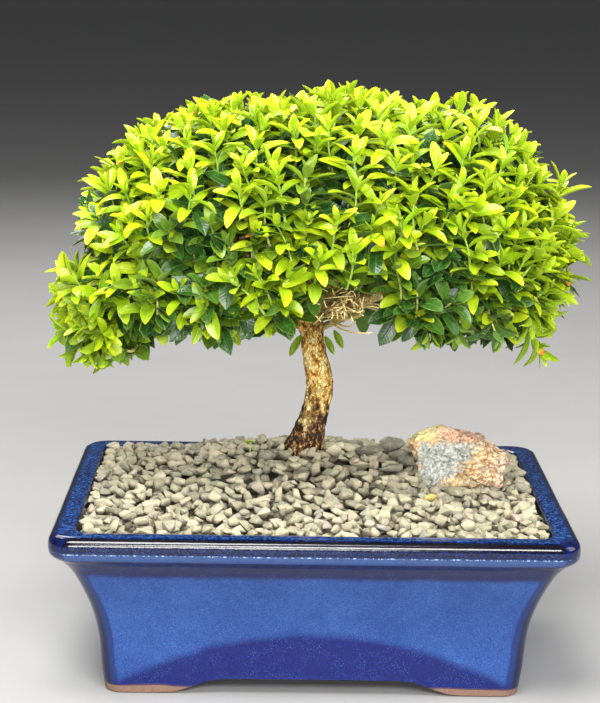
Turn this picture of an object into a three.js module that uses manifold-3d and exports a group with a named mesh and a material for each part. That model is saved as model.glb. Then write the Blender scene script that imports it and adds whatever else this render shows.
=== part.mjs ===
// A littleleaf boxwood bonsai in a glazed rectangular pot, with a gravel top dressing and an accent rock.
// Millimetres, +Z up. The origin lies under the middle of the pot, on the surface that the pot stands on.
// +X is to the right and +Y to the back, seen from the tree's front.
import * as THREE from "three";
import { mergeVertices } from "three/addons/utils/BufferGeometryUtils.js";
import Module from "manifold-3d";

const wasm = await Module();
wasm.setup();

// Driving dimensions.
const GAP = 0.3; // between solids that rest on or in each other
const POT = { width: 254, depth: 203, height: 85 };
const FLOOR = { underside: 8.5, top: 13 };
const FOOT = { wall: 10, flatTo: 30, rampTo: 58, archTop: 8.2 };
const DRAIN = { radius: 8, x: 52 };
const SCREEN = { side: 24, thickness: 0.8, cells: 3, wire: 1.5 };
const GRAVEL = { edgeZ: 82.3, depth: 7.7, stone: 17.4, relief: 3.1 };
const MOUND = { x: -4, y: 30, rise: 15.5, spreadX: 60, spreadY: 45, skirt: 16 };
const ROCK = { x: 77, y: 13, z: 97.5 };
const TRUNK_BASE = { x: -5, y: 22, buriedZ: 70 };
const CROWN = { x: -2.8, y: 6, halfWidth: 137.5, halfDepth: 94, apexZ: 291.5 };
const CORE = { inset: 32, thickness: 12, turns: 19, rows: 7 };
const LEAF = { length: 26, width: 12, thickness: 1.4 };
const SHOOTS = 52;
const INNER_LEAVES = 80;

const TAU = Math.PI * 2;
const UP = new THREE.Vector3(0, 0, 1);
const at = (x, y, z) => new THREE.Vector3(x, y, z);
const mix = THREE.MathUtils.lerp;
const smooth = (x) => THREE.MathUtils.smoothstep(x, 0, 1);

// Random numbers from 0 to 1, the same on every run.
function randomFrom(seed) {
  let state = seed;
  return () => {
    state = (state + 0x6d2b79f5) | 0;
    let t = Math.imul(state ^ (state >>> 15), 1 | state);
    t = (t + Math.imul(t ^ (t >>> 7), 61 | t)) ^ t;
    return ((t ^ (t >>> 14)) >>> 0) / 4294967296;
  };
}

// Points and triangles as a geometry.
function meshOf(points, faces) {
  const geometry = new THREE.BufferGeometry().setFromPoints(points);
  geometry.setIndex(faces);
  return geometry;
}

// A closed geometry as a solid that can be joined and cut.
function solid(geometry) {
  const bare = new THREE.BufferGeometry();
  bare.setAttribute("position", geometry.getAttribute("position").clone());
  if (geometry.index) bare.setIndex(geometry.index.clone());
  const merged = mergeVertices(bare, 1e-4);
  const vertProperties = Float32Array.from(merged.getAttribute("position").array);
  const triVerts = Uint32Array.from(merged.index.array);
  return new wasm.Manifold(new wasm.Mesh({ numProp: 3, vertProperties, triVerts }));
}

// A solid as a geometry again.
function geometryOf(body) {
  const mesh = body.getMesh();
  const geometry = new THREE.BufferGeometry();
  geometry.setAttribute("position", new THREE.BufferAttribute(mesh.vertProperties, 3));
  geometry.setIndex(new THREE.BufferAttribute(mesh.triVerts, 1));
  return geometry;
}

const joined = (bodies) => wasm.Manifold.union(bodies);

// The largest of a solid's separate bodies, without the crumbs that a cut left beside it.
const mainBody = (body) =>
  body.decompose().reduce((best, other) => (other.volume() > best.volume() ? other : best));

// The skin over a stack of rings with as many points each, closed by a flat cap at both ends.
function loft(rings) {
  const count = rings[0].length;
  const top = (rings.length - 1) * count;
  const faces = [];
  for (let r = 0; r + 1 < rings.length; r++)
    for (let i = 0; i < count; i++) {
      const a = r * count + i;
      const b = r * count + ((i + 1) % count);
      faces.push(a, b, b + count, a, b + count, a + count);
    }
  for (let i = 1; i + 1 < count; i++)
    faces.push(0, i + 1, i, top, top + i, top + i + 1);
  return meshOf(rings.flat(), faces);
}

// A tapered tube along a smooth curve. swell gives the radius as a share, at an angle and a share of the way.
function tube(points, radii, sides, steps, extra = 0, swell = () => 1) {
  const curve = new THREE.CatmullRomCurve3(points);
  const frames = curve.computeFrenetFrames(steps);
  const rings = [];
  for (let s = 0; s <= steps; s++) {
    const share = s / steps;
    const middle = curve.getPoint(share);
    const place = share * (radii.length - 1);
    const low = Math.min(Math.floor(place), radii.length - 2);
    const radius = mix(radii[low], radii[low + 1], place - low);
    if (s === 0) middle.addScaledVector(curve.getTangent(0), -extra);
    if (s === steps) middle.addScaledVector(curve.getTangent(1), extra);
    const ring = [];
    for (let i = 0; i < sides; i++) {
      const angle = (TAU * i) / sides;
      const reach = radius * swell(angle, share) + extra;
      ring.push(
        middle
          .clone()
          .addScaledVector(frames.normals[s], reach * Math.cos(angle))
          .addScaledVector(frames.binormals[s], reach * Math.sin(angle)),
      );
    }
    rings.push(ring);
  }
  return loft(rings);
}

// A rectangle with round corners, lying in from the pot's outer edge, as a ring at height z.
function potRing(inset, corner, z, arcs = 3) {
  const halfX = POT.width / 2 - inset - corner;
  const halfY = POT.depth / 2 - inset - corner;
  const ring = [];
  for (let quarter = 0; quarter < 4; quarter++) {
    const x = quarter === 0 || quarter === 3 ? halfX : -halfX;
    const y = quarter < 2 ? halfY : -halfY;
    for (let i = 0; i <= arcs; i++) {
      const angle = (TAU / 4) * (quarter + i / arcs);
      ring.push(at(x + corner * Math.cos(angle), y + corner * Math.sin(angle), z));
    }
  }
  return ring;
}

// The pot's walls: how far in from the outer edge, the corner radius and the height of each ring.
const OUTER_WALL = [
  [25.5, 9, 0],
  [24.2, 9, 7],
  [23.3, 9, 15],
  [22.3, 9, 27],
  [20.2, 9.5, 39],
  [16.4, 10, 51],
  [10.4, 11, 64],
  [5.6, 12, 70.3],
  [1.8, 13, 73.4],
  [0.2, 13, 76],
  [0, 13, 80.6],
  [1, 12.5, 83.4],
  [3.4, 11, POT.height],
];
const RIM_INNER = [
  [11.4, 9, POT.height],
  [13, 9, 83.6],
];
const CAVITY = [
  [31, 9, FLOOR.top],
  [28.5, 9, 36],
  [24.5, 9, 50],
  [18.5, 9, 64],
  [14.2, 9, 72],
  [13.6, 9, 78],
];
// The same cavity, smaller all round by the gap, and carried up past the rim for the mound.
const FILL = [
  ...CAVITY.map(([inset, corner, z]) => [inset + GAP, corner, z === FLOOR.top ? z + GAP : z]),
  [13.6 + GAP, 9, 130],
];
const ringsOf = (wall) => wall.map(([inset, corner, z]) => potRing(inset, corner, z));

// A cutter for the arch between two feet, as long as the pot. It runs along Y, for a side of the given length.
function archCutter(sideLength, along) {
  const half = sideLength / 2 - OUTER_WALL[0][0];
  const flat = half - FOOT.flatTo;
  const crown = half - FOOT.rampTo;
  const outline = [];
  for (let i = 0; i <= 5; i++)
    outline.push([mix(flat, crown, i / 5), FOOT.archTop * smooth(i / 5)]);
  const shape = new THREE.Shape();
  shape.moveTo(-flat, -1);
  outline.forEach(([x, z]) => shape.lineTo(-x, z));
  outline.reverse().forEach(([x, z]) => shape.lineTo(x, z));
  shape.lineTo(flat, -1);
  const cutter = new THREE.ExtrudeGeometry(shape, { depth: 300, bevelEnabled: false });
  cutter.translate(0, 0, -150).rotateX(Math.PI / 2);
  if (along === "x") cutter.rotateZ(Math.PI / 2);
  return solid(cutter);
}

function buildPot() {
  const walls = ringsOf([...OUTER_WALL, ...RIM_INNER, ...[...CAVITY].reverse()]);
  const inset = OUTER_WALL[0][0] + FOOT.wall;
  const recess = loft([potRing(inset, 6, -1), potRing(inset, 6, FLOOR.underside)]);
  let pot = solid(loft(walls)).subtract(solid(recess));
  pot = pot.subtract(archCutter(POT.width, "y")).subtract(archCutter(POT.depth, "x"));
  for (const side of [-1, 1]) {
    const hole = new THREE.CylinderGeometry(DRAIN.radius, DRAIN.radius, 12, 16);
    hole.rotateX(Math.PI / 2).translate(side * DRAIN.x, 0, FLOOR.top - 2);
    pot = pot.subtract(solid(hole));
  }
  return pot;
}

// A square mesh screen that lies on the floor over a drain hole.
function buildScreen(side) {
  const { side: width, thickness, cells, wire } = SCREEN;
  const pitch = (width - wire) / cells;
  const openings = [];
  for (let i = 0; i < cells; i++)
    for (let j = 0; j < cells; j++) {
      const [x, y] = [i, j].map((cell) => (cell + 0.5 - cells / 2) * pitch);
      const opening = new THREE.BoxGeometry(pitch - wire, pitch - wire, thickness * 3);
      openings.push(solid(opening.translate(x, y, 0)));
    }
  const plate = solid(new THREE.BoxGeometry(width, width, thickness)).subtract(joined(openings));
  return plate.translate(side * DRAIN.x, 0, FLOOR.top + GAP + thickness / 2);
}

// The gravel's mean height: level at the pot's wall, and mounded up round the trunk.
function groundHeight(x, y) {
  const wall = CAVITY.at(-1)[0];
  const toWall = Math.min(POT.width / 2 - wall - Math.abs(x), POT.depth / 2 - wall - Math.abs(y));
  const across = (x - MOUND.x) / MOUND.spreadX;
  const along = (y - MOUND.y) / MOUND.spreadY;
  const skirt = smooth((toWall + 2) / MOUND.skirt);
  return GRAVEL.edgeZ + MOUND.rise * skirt * Math.exp(-(across ** 2 + along ** 2) / 2);
}

// Everything under the ground's surface, lowered by a distance.
function underGround(lowered) {
  const [columns, rows] = [7, 6];
  const halfX = POT.width / 2;
  const halfY = POT.depth / 2;
  const points = [];
  for (const base of [true, false])
    for (let j = 0; j <= rows; j++)
      for (let i = 0; i <= columns; i++) {
        const x = mix(-halfX, halfX, i / columns);
        const y = mix(-halfY, halfY, j / rows);
        points.push(at(x, y, base ? FLOOR.top - 5 : groundHeight(x, y) - lowered));
      }
  const layer = (columns + 1) * (rows + 1);
  const faces = [];
  for (let j = 0; j < rows; j++)
    for (let i = 0; i < columns; i++) {
      const a = j * (columns + 1) + i;
      const b = a + 1;
      const c = a + columns + 1;
      const d = c + 1;
      faces.push(a, d, b, a, c, d);
      faces.push(a + layer, b + layer, d + layer, a + layer, d + layer, c + layer);
    }
  const edge = [];
  for (let i = 0; i < columns; i++) edge.push(i);
  for (let j = 0; j < rows; j++) edge.push(j * (columns + 1) + columns);
  for (let i = columns; i > 0; i--) edge.push(rows * (columns + 1) + i);
  for (let j = rows; j > 0; j--) edge.push(j * (columns + 1));
  edge.forEach((a, i) => {
    const b = edge[(i + 1) % edge.length];
    faces.push(a, b, b + layer, a, b + layer, a + layer);
  });
  return solid(meshOf(points, faces));
}

// The stones' relief: six-sided cells that share their jittered corners, each rising to a tilted three-sided top.
function gravelRelief() {
  const random = randomFrom(11);
  const [across, down] = [GRAVEL.stone, GRAVEL.stone * 0.866];
  const columns = Math.ceil(POT.width / across / 2) - 1;
  const rows = Math.ceil(POT.depth / down / 2) - 1;
  const points = [];
  const faces = [];
  const base = FLOOR.top;
  const corners = new Map();
  const cornerAt = (x, y) => {
    const key = Math.round((x * 2) / across) + "," + Math.round((y * 3) / down);
    if (!corners.has(key)) {
      const px = x + (random() - 0.5) * across * 0.34;
      const py = y + (random() - 0.5) * down * 0.34;
      const pz = groundHeight(px, py) - GRAVEL.relief * (0.55 + 0.5 * random());
      points.push(at(px, py, base), at(px, py, pz));
      corners.set(key, points.length - 1);
    }
    return corners.get(key);
  };
  const edges = new Map();
  for (let j = -rows; j <= rows; j++)
    for (let i = -columns; i <= columns; i++) {
      const x = (i + (j % 2 ? 0.5 : 0)) * across;
      const y = j * down;
      const rim = [];
      for (let k = 0; k < 6; k++) {
        const angle = (TAU * (k + 0.5)) / 6;
        const reach = across / Math.sqrt(3);
        rim.push(cornerAt(x + reach * Math.cos(angle), y + reach * Math.sin(angle)));
      }
      for (let k = 0; k < 6; k++) {
        const [a, b] = [rim[k], rim[(k + 1) % 6]];
        if (!edges.delete(b + "," + a)) edges.set(a + "," + b, [a, b]);
      }
      const middle = rim.reduce((sum, k) => sum.add(points[k]), at(0, 0, 0)).divideScalar(6);
      const [tiltX, tiltY] = [(random() - 0.5) * 0.5, (random() - 0.5) * 0.5];
      const rise = GRAVEL.relief * (0.35 + 0.75 * random());
      const top = points.length;
      for (let k = 0; k < 3; k++) {
        const towards = points[rim[2 * k + 1]].clone().sub(middle);
        const reach = 0.42 + 0.24 * random();
        const [dx, dy] = [towards.x * reach, towards.y * reach];
        const level = groundHeight(middle.x, middle.y) + rise + dx * tiltX + dy * tiltY;
        points.push(at(middle.x + dx, middle.y + dy, level));
      }
      for (let k = 0; k < 3; k++) {
        const [here, next] = [top + k, top + ((k + 1) % 3)];
        const [a, b, c] = [rim[2 * k], rim[2 * k + 1], rim[(2 * k + 2) % 6]];
        faces.push(here, a, b, here, b, c, here, c, next);
      }
      faces.push(top, top + 1, top + 2);
      for (let k = 1; k < 5; k++) faces.push(rim[0] - 1, rim[k + 1] - 1, rim[k] - 1);
    }
  for (const [a, b] of edges.values()) faces.push(a - 1, b - 1, b, a - 1, b, a);
  return solid(meshOf(points, faces));
}

// The rock's broken faces: each a direction that it faces and its distance from the middle.
const ROCK_FACES = [
  [-0.04, 0.1, 1, 14.5],
  [-0.35, -0.1, 0.93, 18.5],
  [0.72, -0.1, 0.68, 20.5],
  [0.86, 0.2, -0.46, 25],
  [0, 0, -1, 16],
  [-0.93, 0.1, -0.34, 24],
  [-0.3, -0.93, 0.22, 13.5],
  [0.42, -0.86, 0.28, 16.5],
  [0.1, -0.9, -0.42, 17],
  [-0.45, 0.86, 0.2, 18],
  [0.4, 0.88, 0.24, 17],
  [-0.8, -0.56, 0.2, 23.5],
].map(([x, y, z, distance]) => ({ facing: at(x, y, z).normalize(), distance }));

// How far the rock reaches from its middle in a direction, roughened by waves that cross it.
function rockReach(direction) {
  let reach = Infinity;
  for (const { facing, distance } of ROCK_FACES) {
    const slope = direction.dot(facing);
    if (slope > 0.05) reach = Math.min(reach, distance / slope);
  }
  const p = direction.clone().multiplyScalar(reach);
  const waves = Math.sin(p.x * 0.42 + p.z * 0.3) * Math.sin(p.y * 0.5 - p.z * 0.36 + 1);
  return reach * (1 + 0.045 * waves);
}

function buildRock(extra = 0) {
  const geometry = new THREE.IcosahedronGeometry(1, 3);
  const position = geometry.getAttribute("position");
  const direction = at(0, 0, 0);
  for (let i = 0; i < position.count; i++) {
    direction.fromBufferAttribute(position, i).normalize();
    direction.multiplyScalar(rockReach(direction) + extra * 1.35);
    position.setXYZ(i, direction.x, direction.y, direction.z);
  }
  geometry.translate(ROCK.x, ROCK.y, ROCK.z);
  return solid(geometry);
}

// The trunk's middle line and its radius, from the buried root crown to the top fork.
const TRUNK_LINE = [
  at(TRUNK_BASE.x - 2, TRUNK_BASE.y, TRUNK_BASE.buriedZ),
  at(-6.5, 22, 96),
  at(-2.3, 22, 108),
  at(0.2, 21.5, 117),
  at(2.6, 21, 127.5),
  at(3.5, 20.5, 136),
  at(2.3, 20, 145),
  at(0.4, 19, 154),
  at(-1.2, 18, 164),
  at(-1.5, 17, 175),
  at(0.5, 15, 190),
  at(1, 12, 212),
];
const TRUNK_RADII = [7, 11.6, 9, 7.7, 7.2, 7.1, 6.7, 6.3, 6.1, 6, 5, 3.4];

// The trunk's section: low ridges that wander up it, and root flares near the ground.
function trunkSwell(angle, share) {
  const ridges = 0.05 * Math.sin(3 * angle + 9 * share) + 0.035 * Math.sin(5 * angle - 14 * share);
  const flare = 0.13 * Math.max(0, 1 - Math.abs(share - 0.1) / 0.14) * Math.cos(4 * angle + 0.6);
  return 1 + ridges + flare;
}

const buildTrunk = (extra = 0) => solid(tube(TRUNK_LINE, TRUNK_RADII, 9, 15, extra, trunkSwell));

// Where the crown's leaf tips reach. The azimuth runs round from +X. The polar share is 0 at the apex, 1 at the
// widest line and LOWEST at the lower edge. The inset takes the surface in by a distance.
const LOWEST = 1.3;
function crownPoint(azimuth, polar, inset = 0) {
  const [cos, sin] = [Math.cos(azimuth), Math.sin(azimuth)];
  const power = 2 / (2.7 + 0.35 * cos);
  const sideways = Math.abs(cos) ** 2.5;
  const waistZ = mix(212, cos < 0 ? 186 : 200, sideways);
  const lowestZ = mix(sin < 0 ? 180 : 172, cos < 0 ? 147 : 152, sideways);
  const angle = (Math.min(polar, 1) * Math.PI) / 2;
  const tuck = Math.max(0, polar - 1) / (LOWEST - 1);
  const reach = Math.sin(angle) ** power - 0.16 * tuck ** 1.5;
  const lumps = 1 + 0.025 * Math.sin(5 * azimuth + 1.5) * Math.sin(angle * 2);
  const height = (CROWN.apexZ - inset - waistZ) * Math.cos(angle) ** power;
  return at(
    CROWN.x + (CROWN.halfWidth - inset) * reach * lumps * cos,
    CROWN.y + (CROWN.halfDepth - inset) * reach * lumps * sin,
    polar <= 1 ? waistZ + height : mix(waistZ, lowestZ + inset * 0.45, tuck),
  );
}

// The direction that faces out of the crown there.
function crownNormal(azimuth, polar) {
  const step = 0.02;
  const round = crownPoint(azimuth + step, polar).sub(crownPoint(azimuth - step, polar));
  const down = crownPoint(azimuth, polar + step).sub(crownPoint(azimuth, polar - step));
  return down.cross(round).normalize();
}

// The dense inner twigs and old leaves: a shell with an open underside, which the branches reach into.
function coreShell() {
  const { inset, thickness, turns, rows } = CORE;
  const random = randomFrom(5);
  const points = [];
  const ringAt = (polar, depth) => {
    for (let i = 0; i < turns; i++) {
      const azimuth = (TAU * (i + (depth === inset ? 0.5 * (random() - 0.5) : 0))) / turns;
      const bump = depth === inset ? 9 * (random() - 0.4) : 0;
      points.push(crownPoint(azimuth, polar, depth + bump));
    }
  };
  points.push(crownPoint(0, 0, inset));
  for (let r = 1; r <= rows; r++) ringAt(0.12 + ((LOWEST - 0.12) * (r - 1)) / (rows - 1), inset);
  const innerRows = 4;
  for (let r = innerRows; r >= 1; r--)
    ringAt(0.25 + ((LOWEST - 0.06 - 0.25) * (r - 1)) / (innerRows - 1), inset + thickness);
  points.push(crownPoint(0, 0, inset + thickness));
  const faces = [];
  const rings = rows + innerRows;
  const last = points.length - 1;
  for (let i = 0; i < turns; i++) {
    const j = (i + 1) % turns;
    faces.push(0, 1 + i, 1 + j);
    for (let r = 0; r + 1 < rings; r++) {
      const [a, b] = [1 + r * turns + i, 1 + r * turns + j];
      faces.push(a, a + turns, b + turns, a, b + turns, b);
    }
    faces.push(1 + (rings - 1) * turns + i, last, 1 + (rings - 1) * turns + j);
  }
  return solid(meshOf(points, faces));
}

// The main branches: where each leaves the trunk's line, and where round the crown it ends.
const BRANCHES = [
  { from: 8.3, azimuth: 184, polar: 1.12 },
  { from: 8.9, azimuth: 352, polar: 1.12 },
  { from: 9.2, azimuth: 238, polar: 0.98 },
  { from: 9.4, azimuth: 118, polar: 1.02 },
  { from: 9.7, azimuth: 306, polar: 0.96 },
  { from: 9.9, azimuth: 56, polar: 1.0 },
  { from: 10.4, azimuth: 176, polar: 0.62 },
  { from: 10.7, azimuth: 8, polar: 0.6 },
  { from: 11, azimuth: 268, polar: 0.4 },
].map((branch) => ({ ...branch, azimuth: (branch.azimuth * TAU) / 360 }));

// One main branch with its side branch. Both end a few millimetres inside the core.
function branchSolids({ from, azimuth, polar }, extra) {
  const end = (turn, rise) => crownPoint(azimuth + turn, polar + rise, CORE.inset + CORE.thickness - 5);
  const share = from / (TRUNK_LINE.length - 1);
  const root = new THREE.CatmullRomCurve3(TRUNK_LINE).getPoint(share);
  const tip = end(0, 0);
  const third = root.clone().lerp(tip, 0.34).add(at(0, 0, 5));
  const most = root.clone().lerp(tip, 0.7).add(at(0, 0, polar > 0.9 ? 9 : 2));
  const main = tube([root, third, most, tip], [3.6, 2.9, 2.3, 1.7], 5, 4, extra);
  const side = Math.sin(from * 9) > 0 ? 1 : -1;
  const twigTip = end(side * 0.38, -0.12);
  const bend = third.clone().lerp(twigTip, 0.5).add(at(0, 0, 4));
  const twig = tube([third, bend, twigTip], [2.2, 1.8, 1.4], 4, 2, extra);
  return [main, twig].map(solid);
}
const allBranches = (extra = 0) => BRANCHES.flatMap((branch) => branchSolids(branch, extra));

// A blade's outline and rib: how far along the leaf, how far across in half widths, and how far off its middle plane.
const BLADE = [
  [0.26, -0.66, 0.5],
  [0.62, -1, 0.7],
  [1, 0, 0],
  [0.62, 1, 0.7],
  [0.26, 0.66, 0.5],
  [0.5, 0, LEAF.thickness / 2 - 0.2],
  [0.5, 0, -LEAF.thickness / 2 - 0.2],
];

// The points of a blade past its base: left edge, tip, right edge, then the upper and the lower side of the rib.
// It arches along its length. The extra makes it larger all round.
function bladePoints(base, along, facing, length, extra = 0) {
  const side = at(0, 0, 0).crossVectors(facing, along).normalize();
  const face = at(0, 0, 0).crossVectors(along, side).normalize();
  const half = ((LEAF.width / LEAF.length) * length) / 2;
  return BLADE.map(([share, across, lift]) =>
    base
      .clone()
      .addScaledVector(along, share * length + (share === 1 ? extra * 2 : 0))
      .addScaledVector(side, across * half + Math.sign(across) * extra)
      .addScaledVector(face, lift + length * 0.34 * share * (0.62 - share))
      .addScaledVector(face, across === 0 && share < 1 ? Math.sign(lift) * extra : 0),
  );
}

// A leaf of its own, pointed at the base: an oval that arches and folds at the rib.
function leafBlade(base, along, facing, length, extra = 0) {
  const points = [base, ...bladePoints(base, along, facing, length, extra)];
  const faces = [];
  for (let i = 0; i < 6; i++) faces.push(6, i, (i + 1) % 6, 7, (i + 1) % 6, i);
  return solid(meshOf(points, faces));
}

// Two solids that touch, or that would if nearer.
const meets = (a, b) => !a.intersect(b).isEmpty();

// Places spread evenly over the crown: each new one is the furthest from the others of a few random ones.
function spread(count, random, lowest, highest, taken = []) {
  const chosen = [...taken];
  while (chosen.length < count) {
    let best = null;
    for (let trial = 0; trial < 120; trial++) {
      const azimuth = TAU * random();
      const polar = Math.acos(1 - random() * 1.45) / (Math.PI / 2);
      if (polar < lowest || polar > highest) continue;
      const place = crownPoint(azimuth, polar, CORE.inset);
      const room = Math.min(Infinity, ...chosen.map((other) => other.place.distanceTo(place)));
      if (!best || room > best.room) best = { azimuth, polar, place, room };
    }
    if (best) chosen.push(best);
  }
  return chosen;
}

// The shoots at the ends of the crown's outline, which give it its reach.
const OUTER_SHOOTS = [
  [184, 1.1],
  [192, 1.22],
  [356, 1.0],
  [346, 1.2],
  [172, 0.86],
  [8, 0.8],
].map(([degrees, polar]) => {
  const azimuth = (degrees * TAU) / 360;
  return { azimuth, polar, place: crownPoint(azimuth, polar, CORE.inset) };
});

// The pairs of leaves up a shoot: how far up the bare stem, the angle to it, and the length as a share.
const LEAF_PAIRS = [
  { up: 0.36, open: 76, size: 1 },
  { up: 0.66, open: 58, size: 0.96 },
  { up: 0.95, open: 30, size: 0.8 },
];

// The corners of a shoot's four-sided stem at a height over its foot.
const SHOOT_FOOT = 6;
function stemRing(foot, axis, side, height, extra = 0) {
  const radius = mix(1.9, 1.2, height / (SHOOT_FOOT + 15)) + extra;
  return [0, 1, 2, 3].map((corner) => {
    const out = side.clone().applyAxisAngle(axis, (TAU * (corner - 0.5)) / 4);
    return foot.clone().addScaledVector(axis, height).addScaledVector(out, radius);
  });
}

// A shoot's skin: a four-sided stem with a short ring step at each pair of leaves. A leaf grows out of the step's
// left and right faces, seen along the pair, so that stem and blades are one body.
function shootSkin(foot, axis, side, bare, leaves) {
  const heights = [0];
  LEAF_PAIRS.forEach(({ up }) => heights.push(SHOOT_FOOT + bare * up - 0.5, SHOOT_FOOT + bare * up + 0.5));
  const points = heights.flatMap((height) => stemRing(foot, axis, side, height));
  const last = points.length - 4;
  const faces = [0, 2, 1, 0, 3, 2, last, last + 1, last + 2, last, last + 2, last + 3];
  for (let ring = 0; ring + 1 < heights.length; ring++)
    for (let k = 0; k < 4; k++) {
      const [a, b] = [ring * 4 + k, ring * 4 + ((k + 1) % 4)];
      const [c, d] = [b + 4, a + 4];
      const leaf = leaves.find((one) => one.ring === ring && one.face === k);
      if (!leaf) {
        faces.push(a, b, c, a, c, d);
        continue;
      }
      const l1 = points.length;
      const [l2, tip, r2, r1, upper, lower] = [1, 2, 3, 4, 5, 6].map((step) => l1 + step);
      points.push(...leaf.points);
      const edge = [d, l1, l2, tip, r2, r1, c];
      for (let i = 0; i < 7; i++) faces.push(upper, edge[i], edge[(i + 1) % 7]);
      const under = [a, l1, l2, tip, r2, r1, b];
      for (let i = 0; i < 7; i++) faces.push(lower, under[(i + 1) % 7], under[i]);
      faces.push(a, l1, d, b, c, r1);
    }
  return solid(meshOf(points, faces));
}

// One leafy shoot, which stands in the core. Leaves that would meet what is there already are bent up, or left off.
function buildShoot({ azimuth, polar, place }, random, others) {
  const axis = crownNormal(azimuth, polar).multiplyScalar(1.1).addScaledVector(UP, 0.42).normalize();
  const bare = CORE.inset - 15;
  const foot = place.clone().addScaledVector(axis, -SHOOT_FOOT);
  const tip = place.clone().addScaledVector(axis, bare);
  const start = at(0, 0, 0).crossVectors(axis, Math.abs(axis.z) > 0.8 ? at(1, 0, 0) : UP).normalize();
  const side = start.applyAxisAngle(axis, TAU * random());
  const hole = solid(loft([-GAP * 1.3, SHOOT_FOOT + bare].map((h) => stemRing(foot, axis, side, h, GAP * 1.7))));
  const leaves = [];
  LEAF_PAIRS.forEach(({ up, open, size }, pair) => {
    for (const half of [0, 1]) {
      const face = (pair % 2) + half * 2;
      const out = side.clone().applyAxisAngle(axis, (TAU * face) / 4 + (random() - 0.5) * 0.4);
      const length = LEAF.length * size * (0.9 + 0.2 * random());
      const base = place.clone().addScaledVector(axis, bare * up);
      for (const bend of [0, 14, 28]) {
        const angle = THREE.MathUtils.degToRad(Math.max(8, open - bend));
        const along = axis.clone().multiplyScalar(Math.cos(angle)).addScaledVector(out, Math.sin(angle));
        const wide = leafBlade(base, along, axis, length, GAP * 1.2);
        if (others.some((other) => meets(wide, other))) continue;
        leaves.push({ ring: 1 + 2 * pair, face, points: bladePoints(base, along, axis, length) });
        break;
      }
    }
  });
  return { body: shootSkin(foot, axis, side, bare, leaves), hole, place, tip };
}

// The old leaves on the core, between the shoots. A leaf that would meet a shoot or a branch is left off.
function innerLeaves(random, shoots) {
  const leaves = [];
  const spots = spread(shoots.length + INNER_LEAVES * 2, random, 0.05, LOWEST, shoots).slice(shoots.length);
  const blockers = shoots.map(({ body }) => body);
  for (const { azimuth, polar, place } of spots) {
    if (leaves.length >= INNER_LEAVES) break;
    const normal = crownNormal(azimuth, polar);
    const side = at(0, 0, 0).crossVectors(normal, UP).normalize();
    const drop = polar > 1.1 ? -0.5 : 0.15;
    const out = side.applyAxisAngle(normal, TAU * random());
    const along = normal.clone().multiplyScalar(0.5).add(out).addScaledVector(UP, drop).normalize();
    const base = place.clone().addScaledVector(normal, -3.5);
    const length = LEAF.length * (1 + 0.25 * random());
    const wide = leafBlade(base, along, normal, length, GAP * 1.2);
    if (blockers.some((other) => meets(wide, other))) continue;
    leaves.push(leafBlade(base, along, normal, length));
  }
  return leaves;
}

function buildCrown() {
  const random = randomFrom(29);
  const shell = coreShell();
  const wood = joined([buildTrunk(), ...allBranches()]);
  const shoots = [];
  for (const spot of spread(SHOOTS, random, 0.05, 1.22, OUTER_SHOOTS)) {
    const near = shoots.filter(({ tip }) => tip.distanceTo(spot.place) < 62);
    shoots.push(buildShoot(spot, random, [shell, ...near.map(({ body }) => body)]));
  }
  const leaves = innerLeaves(random, shoots);
  const holes = joined([...shoots.map(({ hole }) => hole), ...allBranches(GAP * 1.2)]);
  return { core: mainBody(joined([shell, ...leaves]).subtract(holes)), shoots, wood };
}

// The colours and finishes.
const finish = (color, roughness, metalness = 0) =>
  new THREE.MeshStandardMaterial({ color, roughness, metalness, flatShading: true });
const GLAZE = finish(0x1f3f9e, 0.12);
const SCREEN_PLASTIC = finish(0x20221f, 0.7);
const SOIL = finish(0x3f3027, 0.95);
const STONES = finish(0xaaa795, 0.9);
const ROCK_STONE = finish(0xc9a98a, 0.85);
const BARK = finish(0x7d5d35, 0.9);
const OLD_LEAF = finish(0x2f5f2a, 0.45);
const NEW_LEAF = finish(0xa6cf38, 0.45);

const bonsai = new THREE.Group();
function add(name, body, material) {
  const mesh = new THREE.Mesh(geometryOf(body), material);
  mesh.name = name;
  bonsai.add(mesh);
}

const filling = solid(loft(ringsOf(FILL)));
const { core, shoots, wood } = buildCrown();
const screens = { drain_screen_left: buildScreen(-1), drain_screen_right: buildScreen(1) };
const screenRoom = Object.values(screens).map((screen) => {
  const { min, max } = screen.boundingBox();
  const size = max.map((value, i) => value - min[i] + 2 * GAP);
  const room = new THREE.BoxGeometry(...size);
  return solid(room.translate(...max.map((value, i) => (value + min[i]) / 2)));
});
const seats = joined([buildTrunk(GAP), buildRock(GAP)]);
const soil = filling.intersect(underGround(GRAVEL.depth + GAP)).subtract(joined([seats, ...screenRoom]));
const gravel = filling.intersect(gravelRelief()).subtract(underGround(GRAVEL.depth)).subtract(seats);

add("pot", buildPot(), GLAZE);
for (const [name, screen] of Object.entries(screens)) add(name, screen, SCREEN_PLASTIC);
add("soil", soil, SOIL);
add("gravel", gravel, STONES);
add("accent_rock", buildRock(), ROCK_STONE);
add("trunk", wood, BARK);
add("inner_foliage", core, OLD_LEAF);
shoots.forEach(({ body }, i) => add("shoot_" + String(i + 1).padStart(2, "0"), body, NEW_LEAF));

export default bonsai;
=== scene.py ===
"""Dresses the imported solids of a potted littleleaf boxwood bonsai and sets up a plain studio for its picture.

Every length is in metres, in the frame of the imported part: +Z up, +X right and +Y back, seen from the tree's
front.
"""

import logging
import math
from dataclasses import dataclass, field
from enum import Enum
from typing import Any, Sequence

import bmesh
import bpy
import numpy as np
from mathutils import Matrix, Vector, noise
from mathutils.kdtree import KDTree


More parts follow.
